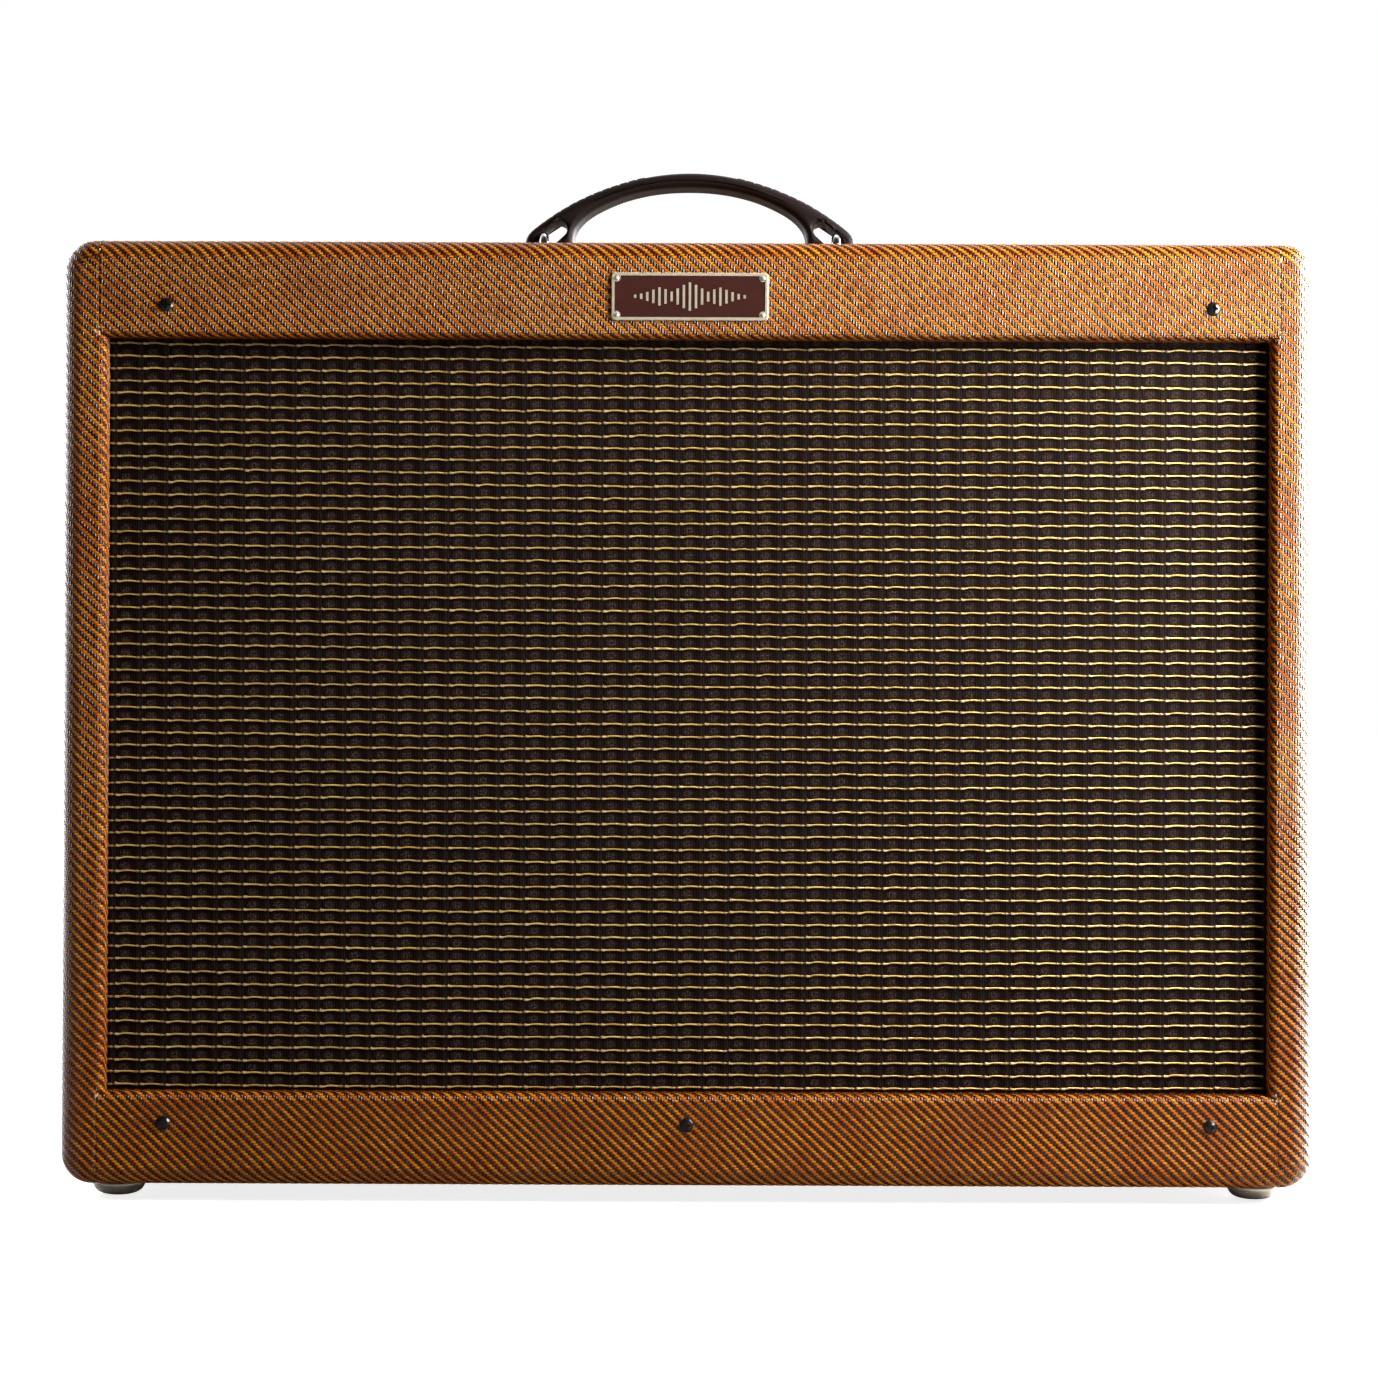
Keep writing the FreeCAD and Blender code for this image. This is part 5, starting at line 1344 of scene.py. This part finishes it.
def speaker_cone():
    """Shallowly ribbed cone running back into a tube. Lengths in mm."""
    outer_r, neck_r, front, depth_end = 127.6, 26.2, 3.2, 45.4
    face = []
    for i in range(46):
        t = i / 45
        rib = 0.45 * math.sin(t * 62) if 0.05 < t < 0.9 else 0
        face.append((outer_r + (neck_r - outer_r) * t,
                     front + (depth_end - front) * (t ** 0.86) + rib))
    tube = [(25.1, 46.5), (25.1, 92), (25.9, 92), (25.9, 47.5)]
    behind = [(r + 0.2, h + 0.9) for r, h in face]
    turned_speaker_part("cone", face + tube + behind[::-1] + [face[0]], 96, PAPER,
                        "speaker_cone", "cone_paper", "cone_body")


def speaker_surround():
    """Ring with two waves. Lengths in mm."""
    inner_r, outer_r, height, wave, half_thick = 128.4, 135.4, 3.1, 0.85, 0.25
    mid = [(inner_r + (outer_r - inner_r) * i / 28, height + wave * math.sin(i / 28 * PI * 4))
           for i in range(29)]
    near = [(r, h - half_thick) for r, h in mid]
    far = [(r, h + half_thick) for r, h in mid]
    turned_speaker_part("surround", near + far[::-1] + [near[0]], 96, surround_material(),
                        "speaker_surround", "surround_cloth", "cabinet")


DUST_DOME = [(33.4, 39.4), (28, 35.0), (22, 31.6), (15, 28.9), (8, 27.4), (0, 26.9),
             (0, 27.7), (8, 28.2), (15, 29.8), (22, 32.5), (28, 36.0), (32.8, 40.1),
             (33.4, 39.4)]
speaker_cone()
turned_speaker_part("dust_dome", DUST_DOME, 72, PAPER, "speaker_dust_cap", "cone_paper",
                    "cone_body")
speaker_surround()


# ------------------------------------------------------------------- cables
def tube_along(points, radius, steps):
    """Round cable through points (millimetres), with steps rings between neighbours."""
    p = [Vector(q) * MM for q in points]
    centres = []
    for i in range(len(p) - 1):
        a, b, c, d = p[max(i - 1, 0)], p[i], p[i + 1], p[min(i + 2, len(p) - 1)]
        centres += [catmull_rom(a, b, c, d, t) for t in np.linspace(0, 1, steps, endpoint=False)]
    centres.append(p[-1])
    bm = bmesh.new()
    rings = []
    up = None
    for i, centre in enumerate(centres):
        ahead, behind = centres[min(i + 1, len(centres) - 1)], centres[max(i - 1, 0)]
        along = (ahead - behind).normalized()
        if up is None:
            up = along.orthogonal().normalized()
        up = (up - along * up.dot(along)).normalized()
        side = along.cross(up)
        rings.append([bm.verts.new(centre + (up * math.cos(a) + side * math.sin(a))
                                   * radius * MM) for a in around(12)])
    skin(bm, rings, turned=True)
    bm.faces.new(rings[0])
    bm.faces.new(rings[-1][::-1])
    return to_mesh(bm, "part", recalc=True)


def sleeve(x, y, z, radius, height, way):
    """Ribbed sleeve at a cable's end; way is +1 when it points up, -1 when down."""
    length = way * height
    profile = [(0, 0), (radius, 0), (radius, length * 0.35), (radius * 0.82, length * 0.4)]
    for k in range(5):
        h = length * (0.45 + 0.1 * k)
        profile += [(radius * 0.62, h), (radius * 0.8, h + length * 0.03),
                    (radius * 0.62, h + length * 0.06)]
    profile.append((0, length))
    return lathe(profile, (x * MM, y * MM, z * MM), seg=24)


def cables():
    # heights in mm: the chassis' underside, the tops of the lower plugs, the speaker terminal
    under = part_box("chassis")[0].z / MM
    plug = INNER_Z0 / MM + 46.4
    term_x, term_y = 12, SPEAKER_CENTRE[1] / MM + 59.8
    term_z = SPEAKER_CENTRE[2] / MM + 93
    # the thick cord hangs down and ends in a coil of 2.2 turns
    cord = [(-147, 50, under + 6), (-147, 50, under - 3), (-147, 50, under - 12),
            (-148, 48, 330), (-163, 30, 250), (-182, 12, 170), (-176, 10, 110)]
    for i in range(45):
        a = math.radians(-52 + 360 * 2.2 * i / 44)
        cord.append((-216 + 44 * math.cos(a), 46 + 44 * math.sin(a), 76 - 34.0 * i / 44))
    speaker_lead = [(44, 62, under - 0.4), (44, 62, under - 6), (44, 52, under - 27),
                    (36, 14, 323), (18, -18, term_z + 1), (term_x, term_y + 6.2, term_z),
                    (term_x, term_y, term_z)]
    left_lead = [(24, 101, under - 0.4), (24, 101, under - 6), (24, 102, under - 25),
                 (10, 104, 290), (-60, 104, 180), (-118, 80, 110), (-128, 52, 88),
                 (-128, 49, plug + 5.6), (-128, 49, plug)]
    right_lead = [(168, 84, under - 0.4), (168, 84, under - 6), (168, 86, under - 25),
                  (176, 96, 290), (214, 100, 180), (246, 78, 110), (250, 52, 88),
                  (250, 49, plug + 5.6), (250, 49, plug)]
    parts = [tube_along(cord, radius=3.3, steps=6),
             tube_along(speaker_lead, radius=2.2, steps=10),
             tube_along(left_lead, radius=2.0, steps=10),
             tube_along(right_lead, radius=2.0, steps=10),
             sleeve(-147, 50, under - 1, radius=6.2, height=12, way=-1),
             sleeve(-128, 49, plug - 0.2, radius=4.6, height=20, way=1),
             sleeve(250, 49, plug - 0.2, radius=4.6, height=20, way=1),
             sleeve(44, 62, under - 1, radius=5.0, height=8, way=-1)]
    tell(join("cable_set", parts, RUBBER), "cables", "black_rubber")


cables()


# ------------------------------------------------- markings on the panel
def flat_text(body, x, y, size):
    """Figures on the panel, read from behind the cabinet; x, y and size in mm."""
    curve = bpy.data.curves.new("text", "FONT")
    curve.body, curve.size, curve.extrude = body, size * MM, 0.00004
    curve.align_x, curve.align_y, curve.resolution_u = "CENTER", "CENTER", 3
    ob = bpy.data.objects.new("text", curve)
    bpy.context.scene.collection.objects.link(ob)
    bpy.context.view_layer.update()
    graph = bpy.context.evaluated_depsgraph_get()
    me = bpy.data.meshes.new_from_object(ob.evaluated_get(graph))
    me.transform(Matrix.Translation((x * MM, y * MM, INNER_Z1 + 0.00005))
                 @ Matrix.Rotation(PI, 4, "Z"))
    bpy.data.objects.remove(ob)
    bpy.data.curves.remove(curve)
    return me


def bar(x0, y0, x1, y1, width):
    """Thin raised line on the panel, in mm."""
    a, b = Vector((x0, y0, 0)), Vector((x1, y1, 0))
    d = b - a
    half = Vector((-d.y, d.x, 0)).normalized() * width / 2
    verts = [(q.x * MM, q.y * MM, INNER_Z1 + h * MM) for h in (0.02, 0.09)
             for q in (a - half, b - half, b + half, a + half)]
    me = bpy.data.meshes.new("part")
    me.from_pydata(verts, [], [(0, 3, 2, 1), (4, 5, 6, 7), (0, 1, 5, 4), (1, 2, 6, 5),
                               (2, 3, 7, 6), (3, 0, 4, 7)])
    return me


def panel_marks():
    bezel_lo, bezel_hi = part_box("pilot_bezel")
    mid_y = (bezel_lo.y + bezel_hi.y) / 2 / MM
    tick_in, tick_out, figure_r = 11.2, 12.4, 14.6
    parts = []
    for knob in KNOBS:
        lo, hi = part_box(knob)
        x = (lo.x + hi.x) / 2 / MM
        for i in range(12):
            # 0 degrees points to the front (-Y); the figures rise clockwise seen from above
            a = math.radians(-150 + 300 * i / 11)
            dx, dy = -math.sin(a), -math.cos(a)
            parts.append(bar(x + dx * tick_in, mid_y + dy * tick_in,
                             x + dx * tick_out, mid_y + dy * tick_out, width=0.35))
            parts.append(flat_text(str(i + 1), x + dx * figure_r, mid_y + dy * figure_r,
                                   size=2.6))
    # a line and a figure at each of two places near the panel's +X end
    places = (228, 203)
    parts += [bar(x - 9, mid_y + 17, x + 9, mid_y + 17, width=0.6) for x in places]
    parts += [flat_text(str(i + 1), x, mid_y - 14, size=4.2) for i, x in enumerate(places)]
    # a thin line border round the panel
    border_x, y0, y1 = 240, PANEL_Y0 / MM + 3.0, PANEL_Y1 / MM - 3.0
    parts += [bar(-border_x, y, border_x, y, width=0.5) for y in (y0, y1)]
    parts += [bar(x, y0, x, y1, width=0.5) for x in (-border_x, border_x)]
    tell(join("panel_marks", parts, INK, split=False), None, "black_plastic")


panel_marks()


# ------------------------------------------------------- seams of the front
def seam_yarn_ends():
    """Pale cut ends of yarn along the front seams. The order of the draws matters."""
    items = []
    for side in (-1, 1):
        for z, z_end in ((BASE_Z + 3 * MM, OPEN_Z0), (OPEN_Z1, TOP_Z - 2 * MM)):
            while z < z_end:
                length = rng.uniform(0.7, 1.6) * MM
                x = side * SEAM_X + rng.normal(0, 0.16) * MM
                # follow the front rounding near the outer edges
                from_edge = min(z - BASE_Z, TOP_Z - z)
                y = -HALF_Y
                if from_edge <= R_FRONT:
                    y += R_FRONT - math.sqrt(
                        max(R_FRONT ** 2 - (R_FRONT - from_edge) ** 2, 0))
                if from_edge > 2.0 * MM:
                    items.append(((x, y - 0.35 * MM, z),
                                  (x + rng.normal(0, 0.22) * MM, y - 0.30 * MM, z + length),
                                  rng.uniform(0.26, 0.44) * MM))
                z += rng.uniform(2.6, 4.6) * MM
        # frayed ends at the corners of the opening, most at the lower left
        for corner_z, way in ((OPEN_Z0, -1), (OPEN_Z1, 1)):
            for _ in range(9 if (side, way) == (-1, -1) else 5):
                x = side * SEAM_X + rng.normal(0, 0.55) * MM
                z = corner_z + way * rng.uniform(-0.6, 4.2) * MM
                y = -HALF_Y - 0.25 * MM
                items.append(((x, y, z),
                              (x + rng.normal(0, 0.7) * MM, y - 0.2 * MM,
                               z + rng.uniform(0.5, 1.5) * MM),
                              rng.uniform(0.22, 0.40) * MM))
    tell(capsules("seam_yarn_ends", items, yarn_end_material(), end_rings=2), None, "tweed")


seam_yarn_ends()

# ------------------------------------------------------------ floor and world
WHITE = (1.0, 1.0, 1.0)


def floor_material():
    """Pale floor; what the camera sees of it is lifted towards white, more further out."""
    sh = Shader("floor_white")
    o = sh.obj()
    sh.set(color=sh.mix(sh.noise(o, scale=2.0), (0.46, 0.46, 0.46), (0.43, 0.43, 0.435)),
           rough=0.6)
    x, y, _ = sh.split(o)
    lift = sh.ramp((x * x + y * y).sqrt(), span=(0.30, 2.2), to=(0.82, 1.25))
    glow = sh.node("Emission", {0: WHITE, 1: lift})
    surface = Expr(sh, sh.bsdf.outputs[0])
    lifted = sh.node("AddShader", {0: surface, 1: glow})
    seen = sh.node("LightPath", output="Is Camera Ray")
    sh.put(sh.node("MixShader", {0: seen, 1: surface, 2: lifted}), sh.out.inputs[0])
    return sh.material


bm = bmesh.new()
bmesh.ops.create_grid(bm, x_segments=1, y_segments=1, size=14.0)
place("floor", to_mesh(bm, "floor"), floor_material(), smooth=False)


def studio_world():
    """White to the camera; as a light, pale behind the cabinet and dim in front of it."""
    front_dim, back_pale = 0.035, 1.15
    world = bpy.data.worlds.new("studio")
    world.use_nodes = True
    w = Nodes(world.node_tree)
    y = w.split(w.node("TexCoord", output="Generated"))[1]
    lighting = w.node("Background", {0: WHITE, 1: w.ramp(y, span=(-0.35, 0.75),
                                                         to=(front_dim, back_pale))})
    backdrop = w.node("Background", {0: WHITE, 1: 1.0})
    seen = w.node("LightPath", output="Is Camera Ray")
    w.put(w.node("MixShader", {0: seen, 1: lighting, 2: backdrop}),
          w.tree.nodes.new("ShaderNodeOutputWorld").inputs[0])
    return world


scene = bpy.context.scene
scene.world = studio_world()


# ------------------------------------------------------------------- lights
def area(name, loc, target, size, power, colour=WHITE, size_y=None, shine=True, wash=True,
         spread=180):
    """Area light; shine lets it show in reflections, wash lets it light surfaces."""
    light = bpy.data.lights.new(name, "AREA")
    light.shape = "RECTANGLE"
    light.size, light.size_y = size, size_y or size
    light.energy, light.color = power, colour
    light.spread = math.radians(spread)
    ob = bpy.data.objects.new(name, light)
    ob.location = loc
    ob.rotation_euler = (Vector(target) - Vector(loc)).to_track_quat("-Z", "Y").to_euler()
    ob.visible_camera = False
    ob.visible_glossy, ob.visible_diffuse = shine, wash
    scene.collection.objects.link(ob)


area("key", loc=(0.66, -0.46, 0.74), target=(0.16, -0.13, 0.62), size=0.34, power=19.0,
     colour=(1.0, 0.92, 0.79), shine=False)
area("fill", loc=(0.10, -1.30, 0.85), target=(0.0, -0.13, 0.40), size=0.6, power=0.6,
     colour=(1.0, 0.95, 0.90), shine=False)
area("key_shine", loc=(0.64, -0.48, 0.62), target=(0.36, -0.13, 0.46), size=0.30, size_y=0.4,
     power=1.6, colour=(1.0, 0.96, 0.90), wash=False, spread=70)
area("strip", loc=(0.47, -0.25, 0.39), target=(0.29, -0.13, 0.38), size=0.20, size_y=0.48,
     power=15.5, colour=(1.0, 0.97, 0.92), wash=False)
area("right_panel", loc=(1.00, 0.58, 0.42), target=(0.28, 0.0, 0.25), size=1.2, size_y=1.0,
     power=200.0, colour=(1.0, 0.99, 0.97), wash=False)
area("left_panel", loc=(-1.00, 0.75, 0.50), target=(-0.30, 0.0, 0.30), size=1.2, size_y=1.0,
     power=22.0, colour=(0.93, 0.94, 1.0), wash=False)
area("top", loc=(0.2, 0.6, 1.9), target=(0.0, 0.1, 0.4), size=1.0, power=5)

# ------------------------------------------------------------------- camera
CAMERA_DISTANCE, CAMERA_HEIGHT = 1.5, 0.2464     # from the front face, above the floor
CAMERA_ROLL = math.radians(0.24)
lens = bpy.data.cameras.new("camera")
camera = bpy.data.objects.new("camera", lens)
scene.collection.objects.link(camera)
lens.sensor_width = 36
lens.lens = 82.25
lens.shift_x, lens.shift_y = 0.00054, -0.0011
lens.clip_start, lens.clip_end = 0.05, 50
camera.location = (0.0, -HALF_Y - CAMERA_DISTANCE, CAMERA_HEIGHT)
camera.rotation_mode = "QUATERNION"
camera.rotation_quaternion = (Matrix.Rotation(math.radians(90), 4, "X")
                              @ Matrix.Rotation(CAMERA_ROLL, 4, "Z")).to_quaternion()
scene.camera = camera
scene.view_settings.view_transform = "Standard"
